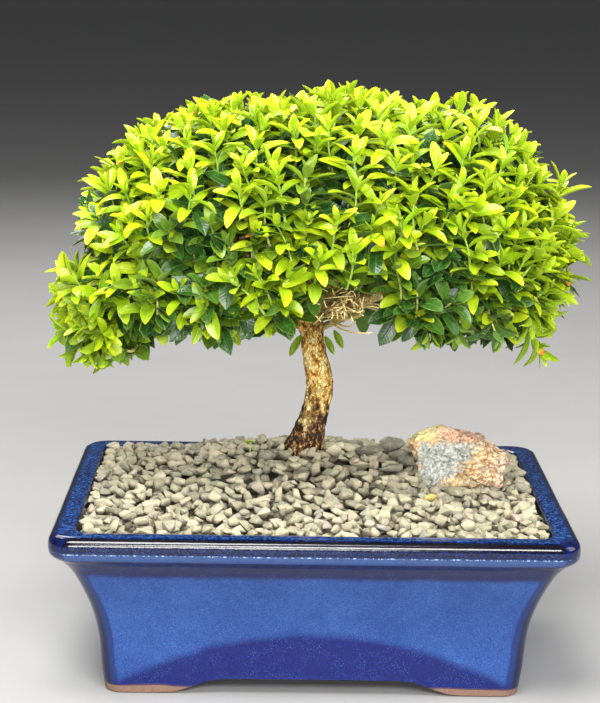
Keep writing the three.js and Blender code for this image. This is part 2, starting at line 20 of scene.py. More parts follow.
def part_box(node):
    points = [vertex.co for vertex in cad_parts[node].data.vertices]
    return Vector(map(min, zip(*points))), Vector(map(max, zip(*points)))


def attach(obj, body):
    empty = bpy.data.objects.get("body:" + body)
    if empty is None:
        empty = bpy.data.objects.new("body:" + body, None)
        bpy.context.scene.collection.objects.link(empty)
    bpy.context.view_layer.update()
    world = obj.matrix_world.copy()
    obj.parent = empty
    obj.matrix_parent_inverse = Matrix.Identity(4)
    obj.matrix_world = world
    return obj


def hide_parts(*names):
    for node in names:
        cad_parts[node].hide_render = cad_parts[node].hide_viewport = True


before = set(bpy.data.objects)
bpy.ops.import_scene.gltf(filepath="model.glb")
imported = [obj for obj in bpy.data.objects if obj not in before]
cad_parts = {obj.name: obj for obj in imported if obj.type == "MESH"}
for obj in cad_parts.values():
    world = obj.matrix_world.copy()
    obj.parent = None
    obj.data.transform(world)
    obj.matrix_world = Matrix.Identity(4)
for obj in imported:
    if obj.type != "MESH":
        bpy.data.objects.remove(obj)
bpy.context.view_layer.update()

LOG = logging.getLogger("bonsai")
BODY = "root"
MM = 0.001
BAKE_MAP = "OFBake"
# The seed of the noise vectors that bend the relief of the rock and the bark.
RELIEF_SEED = 1795753150
Array = np.ndarray
Colour = tuple[float, float, float]
Place = tuple[float, float, float]
Block = dict[str, Array]


def srgb(red: float, green: float, blue: float) -> Colour:
    """The linear colour of a screen colour from 0 to 255."""
    return tuple(
        part / 12.92 if part <= 0.04045 else ((part + 0.055) / 1.055) ** 2.4
        for part in (red / 255, green / 255, blue / 255)
    )


def unit(vectors: Array) -> Array:
    """Vectors of length one in the same directions."""
    return vectors / np.maximum(np.linalg.norm(vectors, axis=-1, keepdims=True), 1e-12)


def smoothstep(low: float, high: float, value: Array | float) -> Array | float:
    """Rises smoothly from 0 at low to 1 at high."""
    share = np.clip((value - low) / (high - low), 0, 1)
    return share * share * (3 - 2 * share)


def node_points(*names: str) -> Array:
    """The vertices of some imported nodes."""
    parts = []
    for name in names:
        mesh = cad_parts[name].data
        points = np.empty(len(mesh.vertices) * 3)
        mesh.vertices.foreach_get("co", points)
        parts.append(points.reshape(-1, 3))
    return np.concatenate(parts)


def read_mesh(mesh: bpy.types.Mesh) -> tuple[Array, Array]:
    """A mesh's points and the directions that it faces there."""
    points, normals = np.empty((2, len(mesh.vertices) * 3))
    mesh.vertices.foreach_get("co", points)
    mesh.vertices.foreach_get("normal", normals)
    return points.reshape(-1, 3), normals.reshape(-1, 3)


def move_mesh(mesh: bpy.types.Mesh, points: Array) -> None:
    """Moves a mesh's points."""
    mesh.vertices.foreach_set("co", points.ravel())
    mesh.update()


def tree_of(points: Array) -> KDTree:
    """A search tree over some points."""
    tree = KDTree(len(points))
    for index, point in enumerate(points):
        tree.insert(point, index)
    tree.balance()
    return tree


@dataclass(frozen=True)
class MainView:
    """The main picture's camera, fitted to the pot's lip and feet. The picture has 600 by 703 pixels."""

    place: Place = (-0.0190, -1.0208, 0.3543)
    right: Place = (0.99984401, -0.00822655, 0.01562945)
    up: Place = (-0.01378019, 0.19019072, 0.98165045)
    look: Place = (0.01104817, 0.9817127, -0.19004768)
    focal: float = 2031.0
    width: int = 600
    height: int = 703

    def pixel(self, point: Array) -> Array:
        """Where a point shows in the picture."""
        local = point - np.array(self.place)
        scale = self.focal / (local @ np.array(self.look))
        across, upward = local @ np.array(self.right), local @ np.array(self.up)
        return np.array([self.width / 2 + across * scale, self.height / 2 - upward * scale])

    def point(self, across: float, down: float, depth: float) -> Array:
        """The point that shows at a pixel and lies at a depth along Y."""
        ray = np.array(self.look) * self.focal + np.array(self.right) * (across - self.width / 2)
        ray = ray - np.array(self.up) * (down - self.height / 2)
        return np.array(self.place) + ray * (depth - self.place[1]) / ray[1]


def point_on(line: Array, share: float) -> Array:
    """The point at a share of a line of evenly spaced points."""
    place = share * (len(line) - 1)
    return np.array([np.interp(place, range(len(line)), line[:, k]) for k in range(3)])


def bezier(start: Array, middle: Array, late: Array, end: Array, count: int) -> Array:
    """Some points on a cubic curve from start to end, which the middle and late points draw to themselves."""
    t = np.linspace(0, 1, count)[:, None]
    return (1 - t) ** 3 * start + 3 * t * (1 - t) ** 2 * middle + 3 * t**2 * (1 - t) * late + t**3 * end


def keep_hull(bm: bmesh.types.BMesh) -> None:
    """Closes loose points into their convex hull and drops those inside it."""
    hull = bmesh.ops.convex_hull(bm, input=list(bm.verts))
    inner = {*hull["geom_interior"], *hull["geom_unused"]}
    bmesh.ops.delete(bm, geom=[vertex for vertex in bm.verts if vertex in inner], context="VERTS")


def inside_by(spot: Array, outline: Array) -> float:
    """How far a spot is inside a closed outline, below 0 outside it."""
    ends = np.roll(outline, -1, axis=0)
    edge = ends - outline
    share = np.clip(((spot - outline) * edge).sum(axis=1) / (edge**2).sum(axis=1), 0, 1)
    distance = float(np.linalg.norm(spot - outline - edge * share[:, None], axis=1).min())
    level = (outline[:, 1] > spot[1]) != (ends[:, 1] > spot[1])
    cut = outline[level, 0] + (spot[1] - outline[level, 1]) / edge[level, 1] * edge[level, 0]
    return distance if np.count_nonzero(cut > spot[0]) % 2 else -distance


class Wire:
    """The output of a shader node. Arithmetic on it adds Math nodes."""

    def __init__(self, graph: "Graph", socket: bpy.types.NodeSocket) -> None:
        """Keeps the socket with the graph that it belongs to."""
        self.graph = graph
        self.socket = socket

    def maths(self, operation: str, *values: "Wire | float") -> "Wire":
        """The result of a Math node on some values."""
        return self.graph.node("ShaderNodeMath", {"operation": operation}, values)

    def __add__(self, other: "Wire | float") -> "Wire":
        """The sum."""
        return self.maths("ADD", self, other)

    __radd__ = __add__

    def __sub__(self, other: "Wire | float") -> "Wire":
        """The difference."""
        return self.maths("SUBTRACT", self, other)

    def __rsub__(self, other: float) -> "Wire":
        """The difference, taken from a number."""
        return self.maths("SUBTRACT", other, self)

    def __mul__(self, other: "Wire | float") -> "Wire":
        """The product."""
        return self.maths("MULTIPLY", self, other)

    __rmul__ = __mul__

    def __truediv__(self, other: "Wire | float") -> "Wire":
        """The quotient."""
        return self.maths("DIVIDE", self, other)

    def __pow__(self, other: float) -> "Wire":
        """The power."""
        return self.maths("POWER", self, other)

    def __abs__(self) -> "Wire":
        """The value without its sign."""
        return self.maths("ABSOLUTE", self)

    def root(self) -> "Wire":
        """The square root."""
        return self.maths("SQRT", self)

    def sine(self) -> "Wire":
        """The sine."""
        return self.maths("SINE", self)

    def smooth(self, low: float, high: float) -> "Wire":
        """Rises smoothly from 0 at low to 1 at high."""
        settings = {"interpolation_type": "SMOOTHSTEP"}
        return self.graph.node("ShaderNodeMapRange", settings, (self, low, high, 0.0, 1.0))

    def part(self, index: int) -> "Wire":
        """One of the three numbers of a place or a colour."""
        return self.graph.node("ShaderNodeSeparateXYZ", {}, (self,), index)


class Graph:
    """A material's nodes, all made by one method."""

    def __init__(self, name: str) -> None:
        """Starts an empty material."""
        self.material = bpy.data.materials.new(name)
        self.material.use_nodes = True
        self.tree = self.material.node_tree
        self.tree.nodes.clear()

    def node(
        self,
        kind: str,
        settings: dict[str, Any] | None = None,
        inputs: Sequence[Any] | dict[str | int, Any] = (),
        output: int | str = 0,
    ) -> Wire:
        """Adds a node.

        Args:
            kind: The node's type.
            settings: Its properties, and "stops" for a ramp's places and colours. They are set first.
            inputs: A value or a link for its sockets, in order or by name. None leaves a socket as it is.
            output: Which output is wanted.

        Returns:
            That output.
        """
        made = self.tree.nodes.new(kind)
        for name, value in (settings or {}).items():
            if name == "stops":
                self._set_stops(made.color_ramp, value)
            else:
                setattr(made, name, value)
        for name, value in inputs.items() if isinstance(inputs, dict) else enumerate(inputs):
            socket = made.inputs[name]
            if isinstance(value, Wire):
                self.tree.links.new(value.socket, socket)
            elif value is not None:
                socket.default_value = (*value, 1.0) if socket.type == "RGBA" else value
        return Wire(self, made.outputs[output])

    @staticmethod
    def _set_stops(ramp: bpy.types.ColorRamp, stops: Sequence[tuple[float, Colour]]) -> None:
        """Gives a ramp its places and colours."""
        while len(ramp.elements) < len(stops):
            ramp.elements.new(0.5)
        for element, (place, colour) in zip(ramp.elements, stops):
            element.position = place
            element.color = (*colour, 1.0)

    def place(self) -> Wire:
        """Where a point is, in metres in the part's frame."""
        return self.node("ShaderNodeTexCoord", output="Object")

    def map(self, name: str) -> Wire:
        """Where a point lies on one of the piece's maps."""
        return self.node("ShaderNodeUVMap", {"uv_map": name})

    def attribute(self, name: str, output: str = "Color") -> Wire:
        """What one of the piece's attributes says at a point."""
        return self.node("ShaderNodeAttribute", {"attribute_name": name}, output=output)

    def vector(self, operation: str, vector: Wire, by: Wire | Sequence[float]) -> Wire:
        """The result of a Vector Math node on two vectors."""
        return self.node("ShaderNodeVectorMath", {"operation": operation}, (vector, by))

    def noise(
        self,
        scale: float,
        detail: float = 3.0,
        rough: float = 0.5,
        place: Wire | None = None,
        output: str = "Fac",
    ) -> Wire:
        """Cloudy noise, with a scale in cycles per metre."""
        inputs = {"Vector": place or self.place(), "Scale": scale, "Detail": detail, "Roughness": rough}
        return self.node("ShaderNodeTexNoise", {}, inputs, output)

    def cells(self, scale: float, feature: str = "F1", place: Wire | None = None) -> Wire:
        """How far a point is from a cell's middle or edge, with a scale in cells per metre."""
        inputs = {"Vector": place or self.place(), "Scale": scale}
        return self.node("ShaderNodeTexVoronoi", {"feature": feature}, inputs, "Distance")

    def ramp(self, factor: Wire, *stops: tuple[float, Colour]) -> Wire:
        """A colour that follows a value through some stops."""
        return self.node("ShaderNodeValToRGB", {"stops": stops}, (factor,))

    def mix(
        self, factor: Wire | float, first: Wire | Colour, second: Wire | Colour, how: str = "MIX"
    ) -> Wire:
        """Two colours, mixed by a factor."""
        settings = {"data_type": "RGBA", "blend_type": how}
        return self.node("ShaderNodeMix", settings, {0: factor, 6: first, 7: second}, 2)

    def bump(self, height: Wire, distance: float, under: Wire | None = None) -> Wire:
        """A normal that follows a height from 0 to 1, which stands for a distance."""
        return self.node("ShaderNodeBump", {}, {"Height": height, "Distance": distance, "Normal": under})

    def surface(
        self, colour: Wire, roughness: Wire, normal: Wire, constants: dict[str, Any] | None = None
    ) -> bpy.types.Material:
        """Ends the graph in one shader.

        Args:
            colour: Its base colour.
            roughness: Its roughness.
            normal: The normal of its relief.
            constants: Plain values for others of the shader's sockets.

        Returns:
            The finished material.
        """
        sockets = {"Base Color": colour, "Roughness": roughness, "Normal": normal, **(constants or {})}
        shader = self.node("ShaderNodeBsdfPrincipled", {}, sockets)
        end = self.tree.nodes.new("ShaderNodeOutputMaterial")
        self.tree.links.new(shader.socket, end.inputs["Surface"])
        return self.material


@dataclass(frozen=True)
class CobaltGlaze:
    """A thick cobalt glaze that breaks to brown-black on the lip's edge and stops short of the bare foot.

    The pot's map named Glaze tells how far a point is below the lip's top edge, measured down the section and
    less than 0 on the flat top and inside. Its attribute named corner is 1 on the walls' corner edges.
    """

    deep: Colour = srgb(20, 51, 112)
    mid: Colour = srgb(31, 64, 126)
    bright: Colour = srgb(45, 82, 143)
    speck: Colour = srgb(74, 124, 196)
    break_edge: Colour = srgb(14, 10, 12)
    clay: Colour = srgb(134, 104, 86)
    clay_height: float = 3.6 * MM
    # The painted reflection, a dark arc low on the walls: its height in the middle, and how far it falls at a
    # distance to the side.
    reflection_arc_height: float = 35 * MM
    reflection_arc_fall: float = 24 * MM
    reflection_arc_side: float = 92 * MM

    def material(self) -> bpy.types.Material:
        """The glaze's material."""
        g = Graph("cobalt_glaze")
        below = g.map("Glaze").part(0)
        fine = g.noise(1500, 3, 0.6)
        wander = (g.noise(60, 3) - 0.5) * (1.6 * MM)
        colour = self._walls(g, fine, wander)
        colour = self._pools_and_under_lip_shade(g, colour, below, wander)
        specks = (1 - g.cells(1500).smooth(0.12, 0.34)) * g.noise(160, 3).smooth(0.42, 0.62)
        colour = g.mix(specks * 0.45, colour, self.speck)
        colour = self._lip(g, colour, below, wander)
        colour = self._corners(g, colour, fine, wander)
        colour, bare = self._foot(g, colour)
        peel = g.noise(95, 2, 0.4) * 0.7 + fine * 0.3
        return g.surface(colour, bare * 0.6 + (fine * 0.06 + 0.06), g.bump(peel, 0.11 * MM), {"IOR": 1.5})

    def _walls(self, g: Graph, fine: Wire, wander: Wire) -> Wire:
        """The walls' blue, with a painted reflection: a darker arc low down."""
        cloud = g.noise(38, 4, 0.6) * 0.3 + fine * 0.7
        blue = g.ramp(cloud, (0.36, self.deep), (0.5, self.mid), (0.62, self.bright))
        aside = g.place().part(0) / self.reflection_arc_side
        height = g.place().part(2) + aside * aside * self.reflection_arc_fall + wander * 2.5
        # painted reflection: the walls turn darker blue below the arc
        low = 1 - height.smooth(self.reflection_arc_height - 6 * MM, self.reflection_arc_height)
        return g.mix(low * 0.95, blue, g.ramp(fine, (0.36, srgb(1, 7, 66)), (0.62, srgb(2, 16, 98))))

    def _pools_and_under_lip_shade(self, g: Graph, colour: Wire, below: Wire, wander: Wire) -> Wire:
        """Adds the dark glaze that pooled round the lip and on its flat top, and painted shade in the bend
        under the lip.
        """
        mottle = g.noise(760, 4, 0.6)
        pool = g.ramp(mottle, (0.38, srgb(0, 3, 16)), (0.5, srgb(1, 10, 44)), (0.64, srgb(4, 32, 90)))
        top_pool = g.ramp(mottle, (0.4, srgb(2, 9, 40)), (0.5, srgb(7, 32, 88)), (0.6, srgb(40, 86, 146)))
        top = 1 - below.smooth(-2 * MM, 0.4 * MM)
        rim = 1 - below.smooth(7.5 * MM, 13 * MM)
        colour = g.mix(rim, colour, g.mix(top, pool, top_pool))
        # painted shade: a dark purple-blue band in the bend under the lip, for the shadowed floor that it
        # reflects
        bend = below.smooth(12.5 * MM, 14 * MM) * (1 - (below + wander * 1.5).smooth(25 * MM, 29 * MM))
        return g.mix(bend * 0.88, colour, srgb(14, 11, 56))

    def _lip(self, g: Graph, colour: Wire, below: Wire, wander: Wire) -> Wire:
        """Adds the lip's painted reflection, a pale band with painted glints, and the edges where the glaze
        breaks.
        """
        # painted reflection: a pale slate-blue band on the lip's face
        pale_reflection = below.smooth(8.9 * MM, 9.3 * MM) * (1 - below.smooth(11.6 * MM, 12.8 * MM))
        pale_reflection = pale_reflection * (g.noise(500, 3).smooth(0.3, 0.6) * 0.3 + 0.5)
        colour = g.mix(pale_reflection, colour, srgb(56, 78, 120))
        # painted highlight: glints along the pale band's upper edge
        painted_glint = 1 - abs(below - 9.2 * MM).smooth(0.1 * MM, 0.4 * MM)
        painted_glint = painted_glint * g.noise(620, 3, 0.6).smooth(0.48, 0.6)
        colour = g.mix(painted_glint * 0.8, colour, srgb(168, 186, 210))
        line = below + wander
        edge = line.smooth(0.2 * MM, 1.1 * MM) * (1 - line.smooth(4.4 * MM, 6.2 * MM))
        colour = g.mix(edge * 0.93, colour, self.break_edge)
        inner_edge = 1 - (below + 9.2 * MM + wander * 0.4).smooth(0.0, 1.4 * MM)
        return g.mix(inner_edge * 0.85, colour, srgb(8, 8, 18))

    def _corners(self, g: Graph, colour: Wire, fine: Wire, wander: Wire) -> Wire:
        """Darkens the walls' corner edges: a wide soft band and a narrow one on the edge itself."""
        corner = g.attribute("corner", "Fac")
        wide = (corner + wander / (4 * MM)).smooth(0.08, 0.3)
        narrow = (corner + (fine - 0.5) * 0.4).smooth(0.72, 0.98)
        colour = g.mix(wide * 0.7, colour, srgb(9, 22, 76))
        return g.mix(narrow * 0.8, colour, srgb(10, 10, 30))

    def _foot(self, g: Graph, colour: Wire) -> tuple[Wire, Wire]:
        """Adds the bare clay with the rusty end of the glaze over it, and tells where the clay is bare."""
        line = g.place().part(2) - (g.noise(34, 2) - 0.5) * (3.4 * MM)
        bare = 1 - line.smooth(self.clay_height, self.clay_height + 0.5 * MM)
        rust = 1 - abs(line - self.clay_height - 0.6 * MM).smooth(0.0, 0.8 * MM)
        clay = g.ramp(g.noise(900, 4, 0.7), (0.3, srgb(104, 80, 66)), (0.7, self.clay))
        return g.mix(bare, g.mix(rust * 0.5, colour, srgb(96, 66, 54)), clay), bare


@dataclass(frozen=True)
class GravelStone:
    """Crushed grey-beige stone with painted shade on each stone's lower part. The vertex colour named stone
    holds each stone's own value and hue, and how high up the stone each point is.
    """

    def material(self) -> bpy.types.Material:
        """The stones' material."""
        g = Graph("crushed_stone")
        own = g.attribute("stone")
        hue = g.ramp(
            own.part(1),
            (0.0, srgb(200, 192, 164)),
            (0.35, srgb(212, 203, 174)),
            (0.55, srgb(190, 188, 156)),
            (0.75, srgb(180, 178, 162)),
            (0.92, srgb(206, 182, 166)),
            (1.0, srgb(226, 206, 120)),
        )
        grain = g.noise(1400, 5, 0.75)
        veins = g.noise(260, 4, 0.6)
        tone = own.part(0) * 0.66 + (grain - 0.5) * 0.55 + (veins - 0.5) * 0.5 + 0.3
        value = g.ramp(
            tone,
            (0.0, srgb(112, 108, 104)),
            (0.45, srgb(200, 198, 194)),
            (0.95, srgb(238, 236, 232)),
        )
        colour = g.mix(1.0, hue, value, "MULTIPLY")
        dust = g.noise(520, 4, 0.7).smooth(0.5, 0.72) * 0.4
        colour = g.mix(dust, colour, srgb(206, 200, 178))
        pits = (1 - g.cells(760).smooth(0.08, 0.3)) * g.noise(300, 3).smooth(0.45, 0.6)
        colour = g.mix(pits * 0.55, colour, srgb(92, 88, 78))
        # painted shade: each stone darkens towards its bottom, for the shade in the gaps between stones
        painted_gap_shade = 1 - own.part(2).smooth(0.1, 0.72)
        colour = g.mix(painted_gap_shade * 0.82, colour, g.mix(1.0, colour, srgb(84, 78, 66), "MULTIPLY"))
        relief = g.bump(grain * 0.5 + g.noise(430, 5, 0.75) - pits * 0.4, 0.95 * MM)
        return g.surface(colour, 0.78 + grain * 0.2, relief, {"Specular IOR Level": 0.3})


@dataclass(frozen=True)
class RockStrata:
    """A broken cream stone with a blue-grey face on the left, a tan and yellow crest and rust streaks."""

    centre: Vector
    reach: Vector

    def material(self) -> bpy.types.Material:
        """The rock's material."""
        g = Graph("banded_rock")
        local = g.vector("SUBTRACT", g.place(), tuple(self.centre))
        local = g.vector("MULTIPLY", local, tuple(1 / side for side in self.reach))
        right, back, up = (local.part(index) for index in range(3))
        patches = g.noise(70, 4, 0.6) - 0.5
        fine = g.noise(900, 4, 0.7)
        grain = g.noise(1500, 5, 0.75)
        swirls = self._swirls(g, right, up)
        colour = self._cream(g, right, up, patches, fine)
        broken = (g.noise(110, 3) + 0.06).smooth(0.42, 0.58) * g.noise(430, 4, 0.7).smooth(0.37, 0.49)
        streaks = (swirls + (fine - 0.5) * 1.7).smooth(0.62, 1.0) * broken
        rust = g.ramp(fine, (0.4, srgb(146, 66, 32)), (0.62, srgb(212, 122, 70)))
        colour = g.mix(streaks * 0.85, colour, rust)
        top = (up + patches * 0.5).smooth(0.62, 0.8)
        colour = g.mix(top * 0.85, colour, self._crest(g, right, patches, fine))
        grey_face = self._grey_face(g, right, back, up, patches)
        colour = g.mix(grey_face * 0.95, colour, self._grey(g))
        crevices = (right * 0.2 + g.noise(150, 3)).smooth(0.42, 0.56) * (1 - grey_face)
        pits = (1 - abs(g.noise(250, 5, 0.7) - 0.5).smooth(0.006, 0.03)) * crevices
        colour = g.mix(pits * 0.75, colour, srgb(96, 66, 50))
        relief = g.bump(swirls * 0.4 + g.noise(420, 5, 0.7) * 0.6 - pits * 0.5, 0.9 * MM)
        normal = g.bump(grain, 0.2 * MM, relief)
        return g.surface(colour, 0.62 + grain * 0.3, normal, {"Specular IOR Level": 0.35})

    def _swirls(self, g: Graph, right: Wire, up: Wire) -> Wire:
        """Bands from 0 to 1 that bend round a place low on the right."""
        wind = (g.noise(40, 4, 0.65) - 0.5) * 1.3
        distance = ((right - 0.4) ** 2 + (up + 0.75) ** 2).root()
        return (distance * 44 + wind * 36).sine() * 0.5 + 0.5

    def _cream(self, g: Graph, right: Wire, up: Wire, patches: Wire, fine: Wire) -> Wire:
        """The cream ground, pinker on the right."""
        cream = g.ramp(
            g.noise(240, 4, 0.65) * 0.7 + fine * 0.3,
            (0.34, srgb(178, 134, 90)),
            (0.46, srgb(206, 176, 124)),
            (0.56, srgb(220, 204, 162)),
            (0.68, srgb(232, 222, 202)),
        )
        pink = (right * 0.8 - up * 0.3 + patches * 1.4).smooth(0.25, 0.75)
        return g.mix(pink * 0.6, cream, srgb(228, 196, 184))

    def _crest(self, g: Graph, right: Wire, patches: Wire, fine: Wire) -> Wire:
        """The crest's colour: tan, and yellow on the left."""
        tan = g.ramp(
            fine,
            (0.36, srgb(150, 100, 76)),
            (0.52, srgb(206, 164, 136)),
            (0.68, srgb(236, 214, 196)),
        )
        yellow = g.ramp(fine, (0.4, srgb(216, 196, 120)), (0.6, srgb(244, 234, 178)))
        return g.mix((right * -1 + patches * 0.8).smooth(0.25, 0.5), tan, yellow)

    def _grey_face(self, g: Graph, right: Wire, back: Wire, up: Wire, patches: Wire) -> Wire:
        """Where the blue-grey face is, with its ragged edge."""
        ragged = patches * 0.6 + (g.noise(300, 5, 0.75) - 0.5) * 0.9
        face = (up * 0.5 - right + ragged + 0.06).smooth(0.0, 0.06)
        face = face * (0.76 - up + ragged).smooth(0.0, 0.08)
        face = face * (right + 0.82 + ragged * 0.5).smooth(0.0, 0.06)
        return face * (1 - back.smooth(0.0, 0.3))

    def _grey(self, g: Graph) -> Wire:
        """The grey face's flecked colour."""
        return g.ramp(
            g.noise(620, 5, 0.75),
            (0.34, srgb(102, 108, 102)),
            (0.46, srgb(150, 155, 148)),
            (0.56, srgb(184, 187, 178)),
            (0.64, srgb(232, 232, 222)),
        )


@dataclass(frozen=True)
class Bark:
    """Flaky golden-tan bark, darker low down and on the shaded old plates, with painted shade on the left side,
    where the dark low colour reaches higher.
    """

    dark_below: float

    def material(self) -> bpy.types.Material:
        """The bark's material."""
        g = Graph("flaky_bark")
        place = g.place()
        long = g.vector("MULTIPLY", place, (1.0, 1.0, 0.7))
        warp = g.vector("MULTIPLY", g.noise(300, 3, output="Color"), (2.4 * MM,) * 3)
        plates = g.cells(560, "DISTANCE_TO_EDGE", g.vector("ADD", long, warp))
        flakes = g.noise(620, 5, 0.75, long) * 0.55 + g.noise(300, 4, 0.7, long) * 0.45
        patches = g.noise(150, 4, 0.6, long)
        golden = g.ramp(
            flakes * 0.75 + patches * 0.25,
            (0.4, srgb(62, 34, 14)),
            (0.46, srgb(184, 122, 44)),
            (0.5, srgb(240, 190, 92)),
            (0.56, srgb(255, 236, 168)),
        )
        brown = g.ramp(
            flakes,
            (0.42, srgb(16, 11, 8)),
            (0.5, srgb(58, 38, 24)),
            (0.55, srgb(150, 106, 56)),
            (0.62, srgb(226, 190, 128)),
        )
        # painted shade: the x term lets the dark low colour reach higher on the left, away from the light
        height = place.part(2) + (patches - 0.5) * 0.07 + place.part(0) * 0.5
        colour = g.mix(height.smooth(self.dark_below, self.dark_below + 20 * MM), brown, golden)
        moss = g.noise(70, 3).smooth(0.56, 0.66) * 0.3
        colour = g.mix(moss, colour, srgb(104, 108, 34))
        cracks = 1 - plates.smooth(0.0, 0.11)
        colour = g.mix(cracks * 0.5, colour, srgb(56, 34, 18))
        relief = g.bump(plates.smooth(0.0, 0.2) * 0.6 + flakes * 0.6, 0.9 * MM)
        return g.surface(colour, 0.72 + flakes * 0.2, relief, {"Specular IOR Level": 0.3})


@dataclass(frozen=True)
class TwigBark:
    """The thin bark of twigs, from green new wood to dry tan, by the vertex colour's first value."""

    def material(self) -> bpy.types.Material:
        """The twigs' material."""
        g = Graph("twig_bark")
        fresh = g.attribute("leaf").part(0)
        rings = g.noise(900, 4, 0.7, g.vector("MULTIPLY", g.place(), (1.0, 1.0, 1.6)))
        dry = g.ramp(
            rings,
            (0.3, srgb(148, 120, 62)),
            (0.5, srgb(220, 196, 124)),
            (0.66, srgb(248, 234, 182)),
        )
        green = g.ramp(rings, (0.3, srgb(110, 150, 40)), (0.7, srgb(176, 206, 84)))
        return g.surface(g.mix(fresh, dry, green), 0.6 + rings * 0.2, g.bump(rings, 0.2 * MM))


class LeafSide(Enum):
    """Which side of a leaf a finish is for."""

    UPPER = "upper"
    UNDER = "under"


@dataclass(frozen=True)
class LeafFinish:
    """A leaf's skin: yellow-green when young, dark and glossy when old.

    The map named Leaf runs across and along each leaf. The vertex colour named leaf holds how young the leaf
    is, a random value of its own, and how far its tip has turned orange.
    """

    side: LeafSide

    def material(self) -> bpy.types.Material:
        """The material of one side."""
        g = Graph(f"leaf_{self.side.value}")
        spot = g.map("Leaf")
        across, along = abs(spot.part(0) - 0.5) * 2, spot.part(1)
        own = g.attribute("leaf")
        young, chance, blush = own.part(0), own.part(1), own.part(2)
        mottle = g.noise(420, 3, 0.6)
        shade = chance * 0.6 + mottle * 0.4
        fresh = g.ramp(
            shade,
            (0.2, srgb(116, 156, 8)),
            (0.5, srgb(154, 182, 12)),
            (0.8, srgb(184, 198, 22)),
            (1.0, srgb(224, 182, 18)),
        )
        old = g.ramp(shade, (0.2, srgb(24, 54, 16)), (0.5, srgb(50, 90, 27)), (0.8, srgb(78, 114, 36)))
        colour = g.mix(young, old, fresh)
        colour = g.mix(young * (1 - along.smooth(0.05, 0.6)) * 0.45, colour, srgb(104, 158, 14))
        rib = 1 - across.smooth(0.03, 0.12)
        margin = across.smooth(0.82, 0.98)
        tip = (along + (mottle - 0.5) * 0.2).smooth(0.72, 1.0)
        colour = g.mix(young * 0.45 * (tip * 0.8 + margin * 0.6), colour, srgb(214, 218, 30))
        colour = g.mix((1 - young) * margin * 0.45, colour, srgb(126, 160, 78))
        colour = g.mix(rib * 0.35, colour, g.mix(young, srgb(92, 130, 76), srgb(176, 206, 60)))
        scorch = (blush * 1.3 + tip * 0.5 + margin * 0.15 - 0.85).smooth(0.0, 0.45)
        colour = g.mix(scorch * 0.85, colour, srgb(214, 128, 44))
        colour = g.mix(scorch.smooth(0.6, 1.0) * 0.6, colour, srgb(196, 70, 34))
        if self.side is LeafSide.UNDER:
            colour = g.mix(0.35, colour, g.mix(young, srgb(108, 140, 88), srgb(178, 202, 48)))
        veins = (along * 60 - across * 9).sine() * 0.5 + 0.5
        height = veins * 0.22 + across.smooth(0.0, 0.2) * 0.6 + mottle * 0.2
        upper = self.side is LeafSide.UPPER
        roughness = (young * 0.12 + mottle * 0.1 + 0.22) if upper else mottle * 0.1 + 0.5
        constants = {
            "Subsurface Weight": 0.28,
            "Subsurface Radius": (0.9, 1.0, 0.35),
            "Subsurface Scale": 0.9 * MM,
            "Specular IOR Level": 0.42 if upper else 0.25,
        }
        return g.surface(colour, roughness, g.bump(height, 0.16 * MM), constants)


@dataclass(frozen=True)
class PlainFinish:
    """A hidden or simple piece's finish: two shades of one stuff, with its grain."""

    name: str
    dark: Colour
    light: Colour
    grain: float
    relief: float
    rough: float

    def material(self) -> bpy.types.Material:
        """The finish's material."""
        g = Graph(self.name)
        crumbs = g.noise(self.grain, 5, 0.7)
        colour = g.ramp(crumbs, (0.32, self.dark), (0.68, self.light))
        roughness = crumbs * 0.15 + (self.rough - 0.07)
        return g.surface(colour, roughness, g.bump(crumbs, self.relief))


def mesh_object(
    name: str, mesh: bpy.types.Mesh, materials: Sequence[bpy.types.Material]
) -> bpy.types.Object:
    """A mesh as an object in the scene, with its materials."""
    for material in materials:
        mesh.materials.append(material)
    piece = bpy.data.objects.new(name, mesh)
    bpy.context.scene.collection.objects.link(piece)
    return piece


def shade_smoothly(mesh: bpy.types.Mesh, sharp: float) -> None:
    """Shades a mesh smoothly, apart from edges whose faces meet at a sharp angle in degrees or more."""
    mesh.shade_smooth()
    mesh.set_sharp_from_angle(angle=math.radians(sharp))


def settle(piece: bpy.types.Object, slot: str, *nodes: str) -> bpy.types.Object:
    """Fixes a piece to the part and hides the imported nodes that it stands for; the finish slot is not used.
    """
    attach(piece, BODY)
    if nodes:
        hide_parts(*nodes)
    count = sum(len(face.vertices) - 2 for face in piece.data.polygons)
    LOG.info("%s: %d triangles", piece.name, count)
    return piece


def block(
    points: Array, faces: Array, slot: int | Array, spots: Array, tint: Array, cells: Array, bake: Array
) -> Block:
    """Some faces with as many corners each, ready for a batch.

    Args:
        points: The vertices.
        faces: The vertices of each face's corners.
        slot: The material slot of all faces, or of each face.
        spots: Where each corner lies on the map named Leaf.
        tint: The vertex colour of all points, or of each point.
        cells: Which cell of the bake map each face is in, from 0.
        bake: Where each corner lies in its cell, from 0 to 1.

    Returns:
        The block.
    """
    return {
        "points": points,
        "faces": faces,
        "slots": np.broadcast_to(slot, len(faces)),
        "spots": spots,
        "tint": np.broadcast_to(tint, (len(points), 3)),
        "cells": cells,
        "bake": bake,
    }


